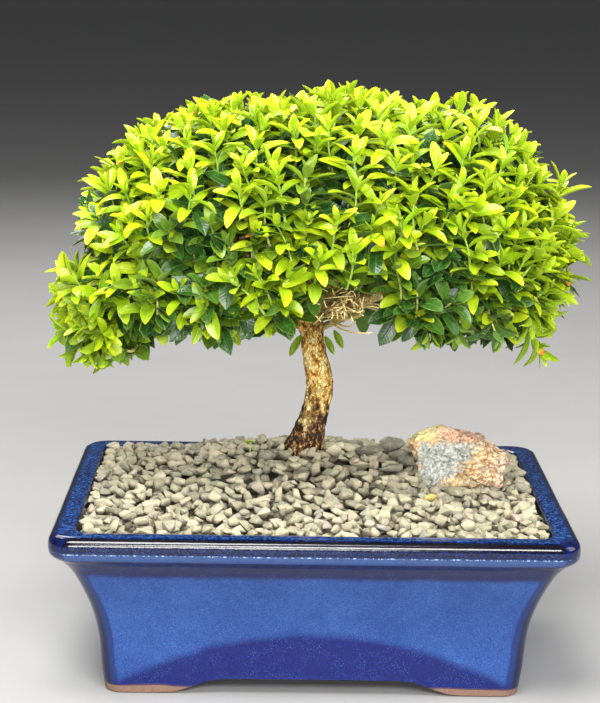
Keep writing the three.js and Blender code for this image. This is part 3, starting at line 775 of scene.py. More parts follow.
class MeshBatch:
    """Collects blocks of faces into one mesh, with a bake map on which no two faces overlap."""

    def __init__(self, tint_name: str = "leaf", margin: float = 0.07) -> None:
        """Starts empty. The margin is the free share of a cell of the bake map at each of its sides."""
        self.blocks: list[Block] = []
        self.tint_name = tint_name
        self.margin = margin

    def add(self, *blocks: Block) -> None:
        """Adds blocks."""
        self.blocks.extend(blocks)

    def build(
        self, name: str, materials: Sequence[bpy.types.Material], sharp: float = 60.0
    ) -> bpy.types.Object:
        """Makes the object.

        Args:
            name: The piece's name.
            materials: Its material slots.
            sharp: The angle between faces, in degrees, from which their edge stays sharp.

        Returns:
            The object.
        """
        side = math.ceil(math.sqrt(sum(int(one["cells"].max()) + 1 for one in self.blocks)))
        corners, starts, bake = [], [], []
        first_point = first_corner = first_cell = 0
        for one in self.blocks:
            count, size = one["faces"].shape
            corners.append((one["faces"] + first_point).ravel())
            starts.append(first_corner + np.arange(count) * size)
            cell = one["cells"] + first_cell
            origin = np.stack([cell % side, cell // side], axis=-1)[:, None, :]
            bake.append(((origin + self.margin + one["bake"] * (1 - 2 * self.margin)) / side).reshape(-1, 2))
            first_point += len(one["points"])
            first_corner += count * size
            first_cell += int(one["cells"].max()) + 1
        points = np.concatenate([one["points"] for one in self.blocks])
        spots = np.concatenate([one["spots"].reshape(-1, 2) for one in self.blocks])
        tints = np.concatenate([one["tint"] for one in self.blocks])
        mesh = bpy.data.meshes.new(name)
        mesh.vertices.add(len(points))
        mesh.vertices.foreach_set("co", points.astype(np.float32).ravel())
        mesh.loops.add(first_corner)
        mesh.loops.foreach_set("vertex_index", np.concatenate(corners).astype(np.int32))
        starts = np.concatenate(starts).astype(np.int32)
        mesh.polygons.add(len(starts))
        mesh.polygons.foreach_set("loop_start", starts)
        slots = np.concatenate([one["slots"] for one in self.blocks]).astype(np.int32)
        mesh.polygons.foreach_set("material_index", slots)
        mesh.update(calc_edges=True)
        for map_name, places in (("Leaf", spots), (BAKE_MAP, np.concatenate(bake))):
            layer = mesh.uv_layers.new(name=map_name)
            layer.data.foreach_set("uv", places.astype(np.float32).ravel())
        colours = mesh.color_attributes.new(self.tint_name, "FLOAT_COLOR", "POINT")
        rgba = np.concatenate([tints, np.ones((len(tints), 1))], axis=1)
        colours.data.foreach_set("color", rgba.astype(np.float32).ravel())
        shade_smoothly(mesh, sharp)
        return mesh_object(name, mesh, materials)


def tube(points: Array, radii: Sequence[float], slot: int, tint: Sequence[float], sides: int = 6) -> Block:
    """A closed tube.

    Args:
        points: The middle line.
        radii: The radius at each of its points.
        slot: The material slot.
        tint: The vertex colour.
        sides: How many sides it has, an even number.

    Returns:
        The tube's block, with one cell of the bake map.
    """
    tangents = unit(np.gradient(points, axis=0))
    first = np.cross(tangents[0], [0.31, 0.2, 0.93])
    rings = []
    for point, tangent, radius in zip(points, tangents, radii):
        first = unit(first - tangent * np.dot(first, tangent))
        second = np.cross(tangent, first)
        angles = np.arange(sides) * math.tau / sides
        rings.append(point + radius * (np.outer(np.cos(angles), first) + np.outer(np.sin(angles), second)))
    count = len(points)
    faces, bake = [], []
    for row in range(count - 1):
        low, high = 0.1 + 0.9 * row / (count - 1), 0.1 + 0.9 * (row + 1) / (count - 1)
        for i in range(sides):
            a, b = row * sides + i, row * sides + (i + 1) % sides
            faces.append([a, b, b + sides, a + sides])
            left, right = i / sides, (i + 1) / sides
            bake.append([[left, low], [right, low], [right, high], [left, high]])
    circle = 0.04 * np.stack([np.cos(angles), np.sin(angles)], axis=-1)
    for end, middle in ((0, 0.25), (count - 1, 0.75)):
        for i in range(0, sides - 2, 2):
            picks = [0, i + 1, i + 2, i + 3]
            picks = picks if end else picks[::-1]
            faces.append([end * sides + pick for pick in picks])
            bake.append([[middle, 0.045] + circle[pick] for pick in picks])
    bake = np.array(bake)
    cells = np.zeros(len(faces), int)
    return block(np.concatenate(rings), np.array(faces), slot, bake, np.array(tint), cells, bake)


class LeafSet:
    """Leaves waiting to be drawn. Each is one closed blade that arches, folds at its rib and twists."""

    THICKNESS = 0.42 * MM

    def __init__(
        self,
        across: Sequence[float] = (-1.0, -0.52, 0.0, 0.52, 1.0),
        along: Sequence[float] = (0.0, 0.13, 0.32, 0.53, 0.74, 0.92, 1.0),
    ) -> None:
        """Starts empty. Each leaf has a grid of points at these places across and along it."""
        self.across = np.array(across)
        self.along = np.array(along)
        self.rows: list[Array] = []

    def add(
        self,
        base: Array,
        along: Array,
        facing: Array,
        size: tuple[float, float],
        arch: float,
        fold: float,
        twist: float,
        tint: Sequence[float],
        round_tip: float,
    ) -> None:
        """Adds a leaf.

        Args:
            base: Where it leaves its stem.
            along: The direction in which it leaves.
            facing: The direction that its upper side faces.
            size: Its length and width.
            arch: How far it bends down from base to tip, in radians.
            fold: How far its halves are folded up, in radians.
            twist: How far it turns about its length, in radians.
            tint: How young it is, its random value and how orange its tip is.
            round_tip: From 0 for a pointed leaf to 1 for an oval one.
        """
        self.rows.append(np.array([*base, *along, *facing, *size, arch, fold, twist, *tint, round_tip]))

    def block(self) -> Block:
        """All the leaves as one block, with slot 0 above and slot 1 beneath."""
        rows = np.array(self.rows)
        base, along, facing = rows[:, 0:3], unit(rows[:, 3:6]), rows[:, 6:9]
        side = unit(np.cross(along, facing))
        facing = np.cross(side, along)
        length, width, arch, fold, twist = (rows[:, i, None] for i in range(9, 14))
        tint, oval = rows[:, 14:17], rows[:, 17, None]
        t = self.along[None, :]
        bend = arch * t
        middle = (
            base[:, None]
            + along[:, None] * (length * np.sin(bend) / arch)[..., None]
            - facing[:, None] * (length * (1 - np.cos(bend)) / arch)[..., None]
        )
        normal = facing[:, None] * np.cos(bend)[..., None] + along[:, None] * np.sin(bend)[..., None]
        turn = (twist * t)[..., None]
        beside = side[:, None] * np.cos(turn) + normal * np.sin(turn)
        above = normal * np.cos(turn) - side[:, None] * np.sin(turn)
        outline = np.sin(math.pi * t ** (1.2 - 0.2 * oval)) ** 0.62
        half = width / 2 * np.maximum(outline, np.where(t < 0.5, 0.16, 0.05))
        a = self.across[None, None, :]
        lift = np.abs(a) ** 1.4 * half[..., None] * np.sin(fold)[..., None]
        spread = a * half[..., None] * np.cos(fold)[..., None]
        top = middle[:, :, None] + beside[:, :, None] * spread[..., None]
        top = top + above[:, :, None] * lift[..., None]
        belly = np.sin(math.pi * np.clip(t, 0.06, 0.94)) ** 0.5 * self.THICKNESS
        under = (top - above[:, :, None] * belly[..., None, None])[:, 1:-1, 1:-1]
        many = len(rows)
        points = np.concatenate([top.reshape(many, -1, 3), under.reshape(many, -1, 3)], axis=1)
        faces, spots, sides = self._template()
        step = np.arange(many)[:, None, None] * points.shape[1]
        all_faces = (faces[None] + step).reshape(-1, 4)
        all_spots = np.tile(spots, (many, 1, 1))
        cells = (np.arange(many)[:, None] * 2 + sides[None]).ravel()
        slots = np.tile(sides, many)
        tints = np.repeat(tint, points.shape[1], axis=0)
        return block(points.reshape(-1, 3), all_faces, slots, all_spots, tints, cells, all_spots)

    def _template(self) -> tuple[Array, Array, Array]:
        """The faces of one leaf, their corners across and along it, and the side that each is on."""
        rows, columns = len(self.along), len(self.across)
        top = np.arange(rows * columns).reshape(rows, columns)
        under = top.copy()
        within = np.arange((rows - 2) * (columns - 2)).reshape(rows - 2, columns - 2)
        under[1:-1, 1:-1] = rows * columns + within
        faces, spots, sides = [], [], []
        for side, grid in enumerate((top, under)):
            for r in range(rows - 1):
                for c in range(columns - 1):
                    corners = [(r, c), (r, c + 1), (r + 1, c + 1), (r + 1, c)]
                    corners = corners[::-1] if side else corners
                    faces.append([grid[corner] for corner in corners])
                    spots.append([[self.across[j] / 2 + 0.5, self.along[i]] for i, j in corners])
                    sides.append(side)
        return np.array(faces), np.array(spots), np.array(sides)


@dataclass
class Pot:
    """The glazed pot: flared walls, a flat lip, and corner feet joined by low arches."""

    glaze: CobaltGlaze = field(default_factory=CobaltGlaze)
    drain_radius: float = 8 * MM
    drain_x: float = 52 * MM
    floor_top: float = 13 * MM
    # The recess under the floor, and the foot's outer edge with the small bevel under it.
    recess_inset: float = 35.5 * MM
    recess_corner: float = 6 * MM
    recess_top: float = 8.5 * MM
    foot_inset: float = 25.5 * MM
    foot_corner: float = 9 * MM
    foot_bevel: float = 0.9 * MM
    foot_rise: float = 3.2 * MM
    foot_flat: float = 30 * MM
    foot_ramp: float = 58 * MM
    arch_top: float = 8.2 * MM
    # The wall's rings in millimetres, outside from the foot upwards and inside from the lip downwards: the
    # inset from the outer edge, the corner radius and the height.
    outer: tuple[tuple[float, float, float], ...] = (
        (24.2, 9, 7), (23.3, 9, 15), (22.3, 9, 27), (20.2, 9.5, 39), (16.4, 10, 51), (10.4, 11, 64),
        (5.6, 12, 70.3), (1.8, 13, 73.4), (0.2, 13, 76), (0, 13, 80.6), (1, 12.5, 83.4), (3.4, 11, 85),
    )
    inner: tuple[tuple[float, float, float], ...] = (
        (10.6, 9.4, 85), (12.2, 9, 84.6), (13, 9, 83.4), (13.6, 9, 78), (14.2, 9, 72), (24.5, 9, 50),
        (31, 9, 13),
    )
    corner_steps: int = 14
    side_steps: int = 22
    # The ring on the lip's inner edge, counted back from the last, along which the way round is measured.
    lip_ring: int = -9

    def __post_init__(self) -> None:
        """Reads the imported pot's size."""
        low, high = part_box("pot")
        self.reach = np.array([high.x - low.x, high.y - low.y]) / 2

    def _around(self) -> list[tuple[int, float, float]]:
        """The columns round the pot: the quarter, and the shares of its corner's arc and of its side."""
        columns = []
        for quarter in range(4):
            columns += [(quarter, i / self.corner_steps, 0.0) for i in range(self.corner_steps + 1)]
            columns += [(quarter, 1.0, i / self.side_steps) for i in range(1, self.side_steps)]
        return columns

    def _spot(self, column: tuple[int, float, float], inset: float, corner: float) -> Array:
        """Where a column stands, at an inset from the outer edge and with a corner radius."""
        quarter, arc, along = column
        half = self.reach - inset - corner
        signs = [(1, 1), (-1, 1), (-1, -1), (1, -1)]
        here, there = np.array(signs[quarter]) * half, np.array(signs[(quarter + 1) % 4]) * half
        angle = (quarter + arc) * math.pi / 2
        round_part = corner * np.array([math.cos(angle), math.sin(angle)])
        return here + (there - here) * along + round_part

    def _arch(self, spot: Array, half: Array) -> float:
        """How high the foot's underside is at a place on the outer edge."""
        distance = half - np.abs(spot)
        inward = max(distance[0], distance[1])
        return float(self.arch_top * smoothstep(self.foot_flat, self.foot_ramp, inward))

    def _profile(self) -> tuple[list[tuple[float, float, float]], list[float]]:
        """The wall's rings in metres on a smooth curve, and how far each is below the lip's top edge."""
        rounds = self._smooth(np.array(self.outer) * MM, 7)
        lip = len(rounds) - 1
        rounds += self._smooth(np.array([self.outer[-1], *self.inner[:4]]) * MM, 4)[1:]
        rounds += [tuple(value * MM for value in row) for row in self.inner[4:]]
        lengths = [0.0]
        for before, after in zip(rounds, rounds[1:]):
            lengths.append(lengths[-1] + math.hypot(after[0] - before[0], after[2] - before[2]))
        return rounds, [lengths[lip] - length for length in lengths]

    @staticmethod
    def _smooth(table: Array, steps: int) -> list[tuple[float, float, float]]:
        """A smooth curve through the rows of a table, with some steps between each two."""
        padded = np.vstack([2 * table[0] - table[1], table, 2 * table[-1] - table[-2]])
        made = []
        for k in range(1, len(padded) - 2):
            p0, p1, p2, p3 = padded[k - 1 : k + 3]
            leaving, arriving = (p2 - p0) / 2, (p3 - p1) / 2
            for i in range(steps):
                t = i / steps
                ends = (2 * t**3 - 3 * t**2 + 1) * p1 + (3 * t**2 - 2 * t**3) * p2
                made.append(tuple(ends + (t**3 - 2 * t**2 + t) * leaving + (t**3 - t**2) * arriving))
        return made + [tuple(padded[-2])]

    def build(self) -> bpy.types.Object:
        """Makes the pot.

        Returns:
            The pot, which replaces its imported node.
        """
        columns = self._around()
        profile, below = self._profile()
        rings = self._foot_rings(columns)
        levels = [below[0] + 12 * MM] * len(rings)
        for (inset, corner, z), depth in zip(profile, below):
            if z >= profile[0][2] + self.foot_rise + 0.2 * MM:
                rings.append([(*self._spot(column, inset, corner), z) for column in columns])
                levels.append(depth)
        bm = bmesh.new()
        glaze_map = bm.loops.layers.uv.new("Glaze")
        made = [[bm.verts.new(point) for point in ring] for ring in rings]
        lip_edge = np.array(rings[self.lip_ring])
        steps = np.linalg.norm(np.roll(lip_edge, -1, axis=0) - lip_edge, axis=1)
        lengths = [0.0, *np.cumsum(steps)]
        for row in range(len(rings) - 1):
            for i in range(len(columns)):
                j = (i + 1) % len(columns)
                face = bm.faces.new((made[row][i], made[row][j], made[row + 1][j], made[row + 1][i]))
                places = ((row, i), (row, i + 1), (row + 1, i + 1), (row + 1, i))
                for loop, (ring, column) in zip(face.loops, places):
                    loop[glaze_map].uv = (levels[ring], lengths[column])
        bm.faces.new(made[0][::-1])
        bm.faces.new(made[-1])
        mesh = bpy.data.meshes.new("glazed_pot")
        bm.to_mesh(mesh)
        bm.free()
        piece = mesh_object("glazed_pot", mesh, [self.glaze.material()])
        self._ripple(piece)
        self._drain(piece)
        self._mark_corners(piece)
        shade_smoothly(piece.data, 42)
        return settle(piece, "cobalt_glaze", "pot")

    def _foot_rings(self, columns: list[tuple[int, float, float]]) -> list[list[tuple[float, ...]]]:
        """The foot's rings: up in the recess, on its arched underside, and up its outside to the wall."""
        wall_inset, _, wall_z = (value * MM for value in self.outer[0])
        half = self.reach - self.foot_inset
        edge = [self._spot(column, self.foot_inset, self.foot_corner) for column in columns]
        arches = [self._arch(spot, half) for spot in edge]
        recess = [self._spot(column, self.recess_inset, self.recess_corner) for column in columns]
        rings = [[(*spot, self.recess_top) for spot in recess]]
        rings.append([(*spot, arch) for spot, arch in zip(recess, arches)])
        bevelled = self.foot_inset + self.foot_bevel
        for inset, share in ((bevelled, 0.0), (self.foot_inset, 0.07), (self.foot_inset, 0.5)):
            ring = []
            for column, arch in zip(columns, arches):
                z = arch + (wall_z + self.foot_rise - arch) * share
                slope = (self.foot_inset - wall_inset) * min(1.0, z / wall_z)
                ring.append((*self._spot(column, inset - slope, self.foot_corner), z))
            rings.append(ring)
        return rings

    def _ripple(self, piece: bpy.types.Object) -> None:
        """Makes the walls very slightly uneven, as fired clay is."""
        points, normals = read_mesh(piece.data)
        waves = [
            noise.noise(point * 42) * 0.16 + noise.noise(point * 130) * 0.05 - 0.12
            for point in map(Vector, points)
        ]
        amount = np.array(waves) * MM * (points[:, 2] > 10 * MM)
        move_mesh(piece.data, points + normals * amount[:, None])

    def _drain(self, piece: bpy.types.Object) -> None:
        """Cuts the two drain holes through the floor."""
        for side in (-1, 1):
            place = (side * self.drain_x, 0, self.floor_top - 2 * MM)
            bpy.ops.mesh.primitive_cylinder_add(
                radius=self.drain_radius, depth=12 * MM, vertices=32, location=place
            )
            cutter = bpy.context.active_object
            cut = piece.modifiers.new("drain", "BOOLEAN")
            cut.operation, cut.solver, cut.object = "DIFFERENCE", "EXACT", cutter
            apply_modifiers(piece)
            bpy.data.objects.remove(cutter)

    def _mark_corners(self, piece: bpy.types.Object) -> None:
        """Marks how near each point is to the walls' corner edges, where the glaze is thin."""
        points, _ = read_mesh(piece.data)
        table = np.array(self.outer) * MM
        inset = np.interp(points[:, 2], table[:, 2], table[:, 0])
        from_corner = (self.reach - inset[:, None] - np.abs(points[:, :2])).max(axis=1)
        mark = piece.data.attributes.new("corner", "FLOAT", "POINT")
        nearness = 1 - smoothstep(3 * MM, 10 * MM, from_corner)
        mark.data.foreach_set("value", nearness.astype(np.float32))


def apply_modifiers(piece: bpy.types.Object) -> None:
    """Makes a piece's modifiers part of its mesh."""
    bpy.context.view_layer.update()
    made = bpy.data.meshes.new_from_object(piece.evaluated_get(bpy.context.evaluated_depsgraph_get()))
    piece.modifiers.clear()
    old = piece.data
    made.name = old.name
    piece.data = made
    bpy.data.meshes.remove(old)


def remeshed(name: str, node: str, voxel: float, smoothing: int) -> bpy.types.Object:
    """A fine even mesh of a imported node.

    Args:
        name: The new piece's name.
        node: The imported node, which stays as it is.
        voxel: The size of the new faces.
        smoothing: How many times the new mesh is smoothed.

    Returns:
        The new object.
    """
    piece = mesh_object(name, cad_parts[node].data.copy(), [])
    piece.data.name = name
    piece.data.materials.clear()
    remesh = piece.modifiers.new("even", "REMESH")
    remesh.mode, remesh.voxel_size = "VOXEL", voxel
    soften = piece.modifiers.new("soften", "SMOOTH")
    soften.factor, soften.iterations = 0.5, smoothing
    apply_modifiers(piece)
    return piece


class Ground:
    """The gravel's mean surface, worked out from the packed gravel."""

    STEP = 3 * MM
    SPREAD = 8.5 * MM

    def __init__(self) -> None:
        """Averages the heights of the packed gravel's upward faces on a grid."""
        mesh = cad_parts["gravel"].data
        tops = [face for face in mesh.polygons if face.normal.z > 0.25]
        centres = np.array([face.center for face in tops])
        areas = np.array([face.area * face.normal.z for face in tops])
        self.low, self.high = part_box("gravel")
        self.xs = np.arange(self.low.x, self.high.x + self.STEP, self.STEP)
        self.ys = np.arange(self.low.y, self.high.y + self.STEP, self.STEP)
        gx, gy = np.meshgrid(self.xs, self.ys, indexing="ij")
        squares = (gx[..., None] - centres[:, 0]) ** 2 + (gy[..., None] - centres[:, 1]) ** 2
        weights = np.exp(-squares / (2 * self.SPREAD**2)) * areas
        self.heights = (weights * centres[:, 2]).sum(axis=-1) / weights.sum(axis=-1)

    def height(self, x: float, y: float) -> float:
        """The surface's height over a place."""
        u = min(max((x - self.xs[0]) / self.STEP, 0), len(self.xs) - 1.001)
        v = min(max((y - self.ys[0]) / self.STEP, 0), len(self.ys) - 1.001)
        i, j = int(u), int(v)
        s, t = u - i, v - j
        grid = self.heights
        left = grid[i, j] * (1 - t) + grid[i, j + 1] * t
        right = grid[i + 1, j] * (1 - t) + grid[i + 1, j + 1] * t
        return float(left * (1 - s) + right * s)


@dataclass(frozen=True)
class StoneLayer:
    """A layer of loose stones: their spacing, depth, size as a share of the spacing, and mean tone."""

    pitch: float
    depth: float
    growth: float
    tone: float


@dataclass
class Gravel:
    """The loose stones on the soil, with a few dark shards, one yellow stone and a tiny weed."""

    ground: Ground
    # The lower layer's darker tone is painted shade in the gaps between the upper stones.
    under: StoneLayer = StoneLayer(9.75 * MM, 3.8 * MM, 1.25, 0.25)
    over: StoneLayer = StoneLayer(7.5 * MM, -0.7 * MM, 1.0, 0.55)
    # How far apart the staggered rows of stones are, as a share of their spacing in a row.
    row_share: float = 0.866
    seed: int = 17
    view: MainView = field(default_factory=MainView)
    # The pixel where each dark shard shows, its length in millimetres, and its turn and slant in degrees.
    shards: tuple[tuple[float, float, float, float, float], ...] = (
        (354, 443, 12, 10, 30), (370, 451, 17, -25, 35), (388, 445, 20, -28, 40),
        (391, 467, 16, 5, 25), (406, 461, 15, -50, 30), (399, 455, 14, -10, 35),
    )
    yellow_stone: tuple[float, float] = (430.5, 497)
    weed: tuple[float, float] = (250, 452)
    # How much higher the stones lie against the trunk and lower against the rock, and how far that reaches.
    heap: float = 3.6 * MM
    heap_reach: float = 34 * MM
    dip: float = 2.4 * MM
    dip_reach: float = 7 * MM

    def _stone(self, rng: np.random.Generator, corners: int, bevel: float) -> tuple[Array, Array, Array]:
        """A broken stone about one unit long.

        Args:
            rng: The source of chance.
            corners: How many corners it has before its edges are worn.
            bevel: How far its edges are worn.

        Returns:
            Its vertices, its triangles, and which side (0 for the top) each triangle is on.
        """
        bm = bmesh.new()
        directions = unit(rng.normal(size=(corners, 3)))
        stretch = np.array([0.5, rng.uniform(0.35, 0.46), rng.uniform(0.26, 0.38)])
        for direction in directions:
            bm.verts.new(direction * stretch * rng.uniform(0.86, 1.12))
        keep_hull(bm)
        if bevel:
            settings = {"offset": bevel, "segments": 1, "affect": "EDGES", "clamp_overlap": True}
            bmesh.ops.bevel(bm, geom=list(bm.edges), **settings)
        bmesh.ops.remove_doubles(bm, verts=list(bm.verts), dist=1e-4)
        bmesh.ops.triangulate(bm, faces=list(bm.faces))
        bm.normal_update()
        bm.verts.ensure_lookup_table()
        points = np.array([vertex.co for vertex in bm.verts])
        faces = np.array([[vertex.index for vertex in face.verts] for face in bm.faces])
        sides = np.array([0 if face.normal.z > 0 else 1 for face in bm.faces])
        bm.free()
        return points, faces, sides

    def _place(
        self,
        kind: tuple[Array, Array, Array],
        spot: Array,
        turn: Matrix,
        size: Array | float,
        tint: Sequence[float],
    ) -> Block:
        """One stone, put in its place. Its vertex colour ends in how high up the stone each point is, which
        sets the painted shade on its lower part.
        """
        points, faces, sides = kind
        span = points[:, :2].max(axis=0) - points[:, :2].min(axis=0)
        flat = (points[:, :2] - points[:, :2].min(axis=0)) / span
        bake = flat[faces]
        placed = (points * size) @ np.array(turn).T
        level = (placed[:, 2] - placed[:, 2].min()) / np.ptp(placed[:, 2])
        tints = np.column_stack([np.full(len(placed), tint[0]), np.full(len(placed), tint[1]), level])
        return block(placed + spot, faces, 0, bake, tints, sides, bake)

    def build(self) -> bpy.types.Object:
        """Makes the stones.

        Returns:
            The stones, which replace the packed gravel.
        """
        rng = np.random.default_rng(self.seed)
        worn = [self._stone(rng, int(rng.integers(9, 14)), 0.028) for _ in range(40)]
        rough = [self._stone(rng, 9, 0.0) for _ in range(10)]
        batch = MeshBatch("stone", 0.05)
        self._bed(batch)
        self._lay(batch, rng, rough, self.under)
        self._lay(batch, rng, worn, self.over)
        for across, down, length, degrees, slant in self.shards:
            spot = self._on_stones(across, down, 5.5 * MM)
            turn = Matrix.Rotation(math.radians(degrees), 3, "Z")
            turn = turn @ Matrix.Rotation(math.radians(slant), 3, "X")
            size = length * MM * np.array([1.0, 0.75, 0.42])
            batch.add(self._place(self._stone(rng, 11, 0.02), spot, turn, size, (0.0, 0.7)))
        spot = self._on_stones(*self.yellow_stone, 4.2 * MM)
        batch.add(self._place(worn[0], spot, Matrix.Identity(3), 8 * MM, (0.9, 1.0)))
        stones = batch.build("gravel_stones", [GravelStone().material()], 28)
        return settle(stones, "gravel", "gravel")

    def _lay(
        self,
        batch: MeshBatch,
        rng: np.random.Generator,
        kinds: list[tuple[Array, Array, Array]],
        layer: StoneLayer,
    ) -> None:
        """Lays a layer of stones on a staggered grid, each shifted, sized, turned and toned by chance.

        Args:
            batch: Where the stones go.
            rng: The source of chance.
            kinds: The stones to choose from.
            layer: How they lie.
        """
        low, high, pitch = self.ground.low, self.ground.high, layer.pitch
        trunk, rock = tree_of(node_points("trunk")), tree_of(node_points("accent_rock"))
        row_pitch = pitch * self.row_share
        for row in range(int((high.y - low.y) / row_pitch) + 1):
            for column in range(int((high.x - low.x) / pitch) + 1):
                x = low.x + (column + 0.5 * (row % 2)) * pitch + rng.normal() * pitch * 0.17
                y = low.y + (row + 0.5) * row_pitch + rng.normal() * pitch * 0.17
                size = pitch * layer.growth * (0.84 + 0.72 * rng.beta(1.5, 2.0))
                edge = size * 0.36
                x = min(max(x, low.x + edge), high.x - edge)
                y = min(max(y, low.y + edge), high.y - edge)
                z = self.ground.height(x, y) - layer.depth + rng.normal() * 0.8 * MM
                z += self.heap * (1 - float(smoothstep(6 * MM, self.heap_reach, trunk.find((x, y, z))[2])))
                z -= self.dip * (1 - float(smoothstep(0, self.dip_reach, rock.find((x, y, z))[2])))
                turn = Matrix.Rotation(rng.uniform(0, math.tau), 3, "Z")
                for axis in "XY":
                    turn = turn @ Matrix.Rotation(rng.normal() * 0.42, 3, axis)
                hue = rng.beta(1.3, 1.9) * 0.93
                tint = (min(1.0, max(0.0, rng.normal(layer.tone, 0.2))), hue)
                kind = kinds[rng.integers(len(kinds))]
                batch.add(self._place(kind, np.array([x, y, z]), turn, size, tint))

    def _on_stones(self, across: float, down: float, rise: float) -> Array:
        """The frontmost point that shows at a pixel and lies at a height over the mean surface."""
        for depth in np.arange(self.ground.low.y, self.ground.high.y, 0.5 * MM):
            point = self.view.point(across, down, depth)
            if point[2] <= self.ground.height(point[0], point[1]) + rise:
                return point
        return point

    def _bed(self, batch: MeshBatch) -> None:
        """Adds a closed bed under the stones, so that no gap between them shows the soil. Its darkest tone is
        painted shade in the gaps.
        """
        low, high = self.ground.low, self.ground.high
        columns, rows = 30, 24
        xs = np.linspace(low.x + MM, high.x - MM, columns + 1)
        ys = np.linspace(low.y + MM, high.y - MM, rows + 1)
        top = np.array([[(x, y, self.ground.height(x, y) - 4.6 * MM) for x in xs] for y in ys]).reshape(-1, 3)
        bottom = top - [0, 0, 2.4 * MM]
        index = np.arange(len(top)).reshape(rows + 1, columns + 1)
        upper = np.stack([index[:-1, :-1], index[:-1, 1:], index[1:, 1:], index[1:, :-1]], axis=-1)
        upper = upper.reshape(-1, 4)
        loop = [*index[0, :-1], *index[:-1, -1], *index[-1, :0:-1], *index[:0:-1, 0]]
        rim = [[p + len(top), q + len(top), q, p] for p, q in zip(loop, loop[1:] + loop[:1])]
        faces = np.concatenate([upper, upper[:, ::-1] + len(top), rim])
        points = np.concatenate([top, bottom])
        spread = (points[:, :2] - points[:, :2].min(axis=0)) / np.ptp(points[:, :2], axis=0)
        bake = spread[faces]
        strip = np.linspace(0, 1, len(rim) + 1)
        bake[-len(rim) :] = [[[p, 0.9], [q, 0.9], [q, 0.1], [p, 0.1]] for p, q in zip(strip, strip[1:])]
        cells = np.repeat([0, 1, 2], [len(upper), len(upper), len(rim)])
        # painted shade: the bed takes the darkest tone and the full painted gap shade
        batch.add(block(points, faces, 0, bake, np.array([0.0, 0.3, 0.0]), cells, bake))

    def build_weed(self, finishes: Sequence[bpy.types.Material]) -> bpy.types.Object:
        """Makes the tiny weed.

        Args:
            finishes: The leaf's two sides and the stem.

        Returns:
            The weed.
        """
        rng = np.random.default_rng(3)
        foot = self._on_stones(*self.weed, 2 * MM)
        top = foot + [0.4 * MM, -0.6 * MM, 5.6 * MM]
        leaves = LeafSet()
        for i in range(5):
            angle = i * 2.4 + 0.4
            out = np.array([math.cos(angle), math.sin(angle), 0.55])
            size = (4.6 * MM * rng.uniform(0.8, 1.1), 1.9 * MM)
            leaves.add(top - [0, 0, (i % 2) * MM], out, [0, 0, 1], size, 0.6, 0.3, 0.0, (0.8, 0.4, 0.0), 0.4)
        batch = MeshBatch()
        batch.add(leaves.block(), tube(np.linspace(foot, top, 4), [0.35 * MM] * 4, 2, (1.0, 0.5, 0.0), 4))
        return settle(batch.build("tiny_weed", finishes), "new_leaf")


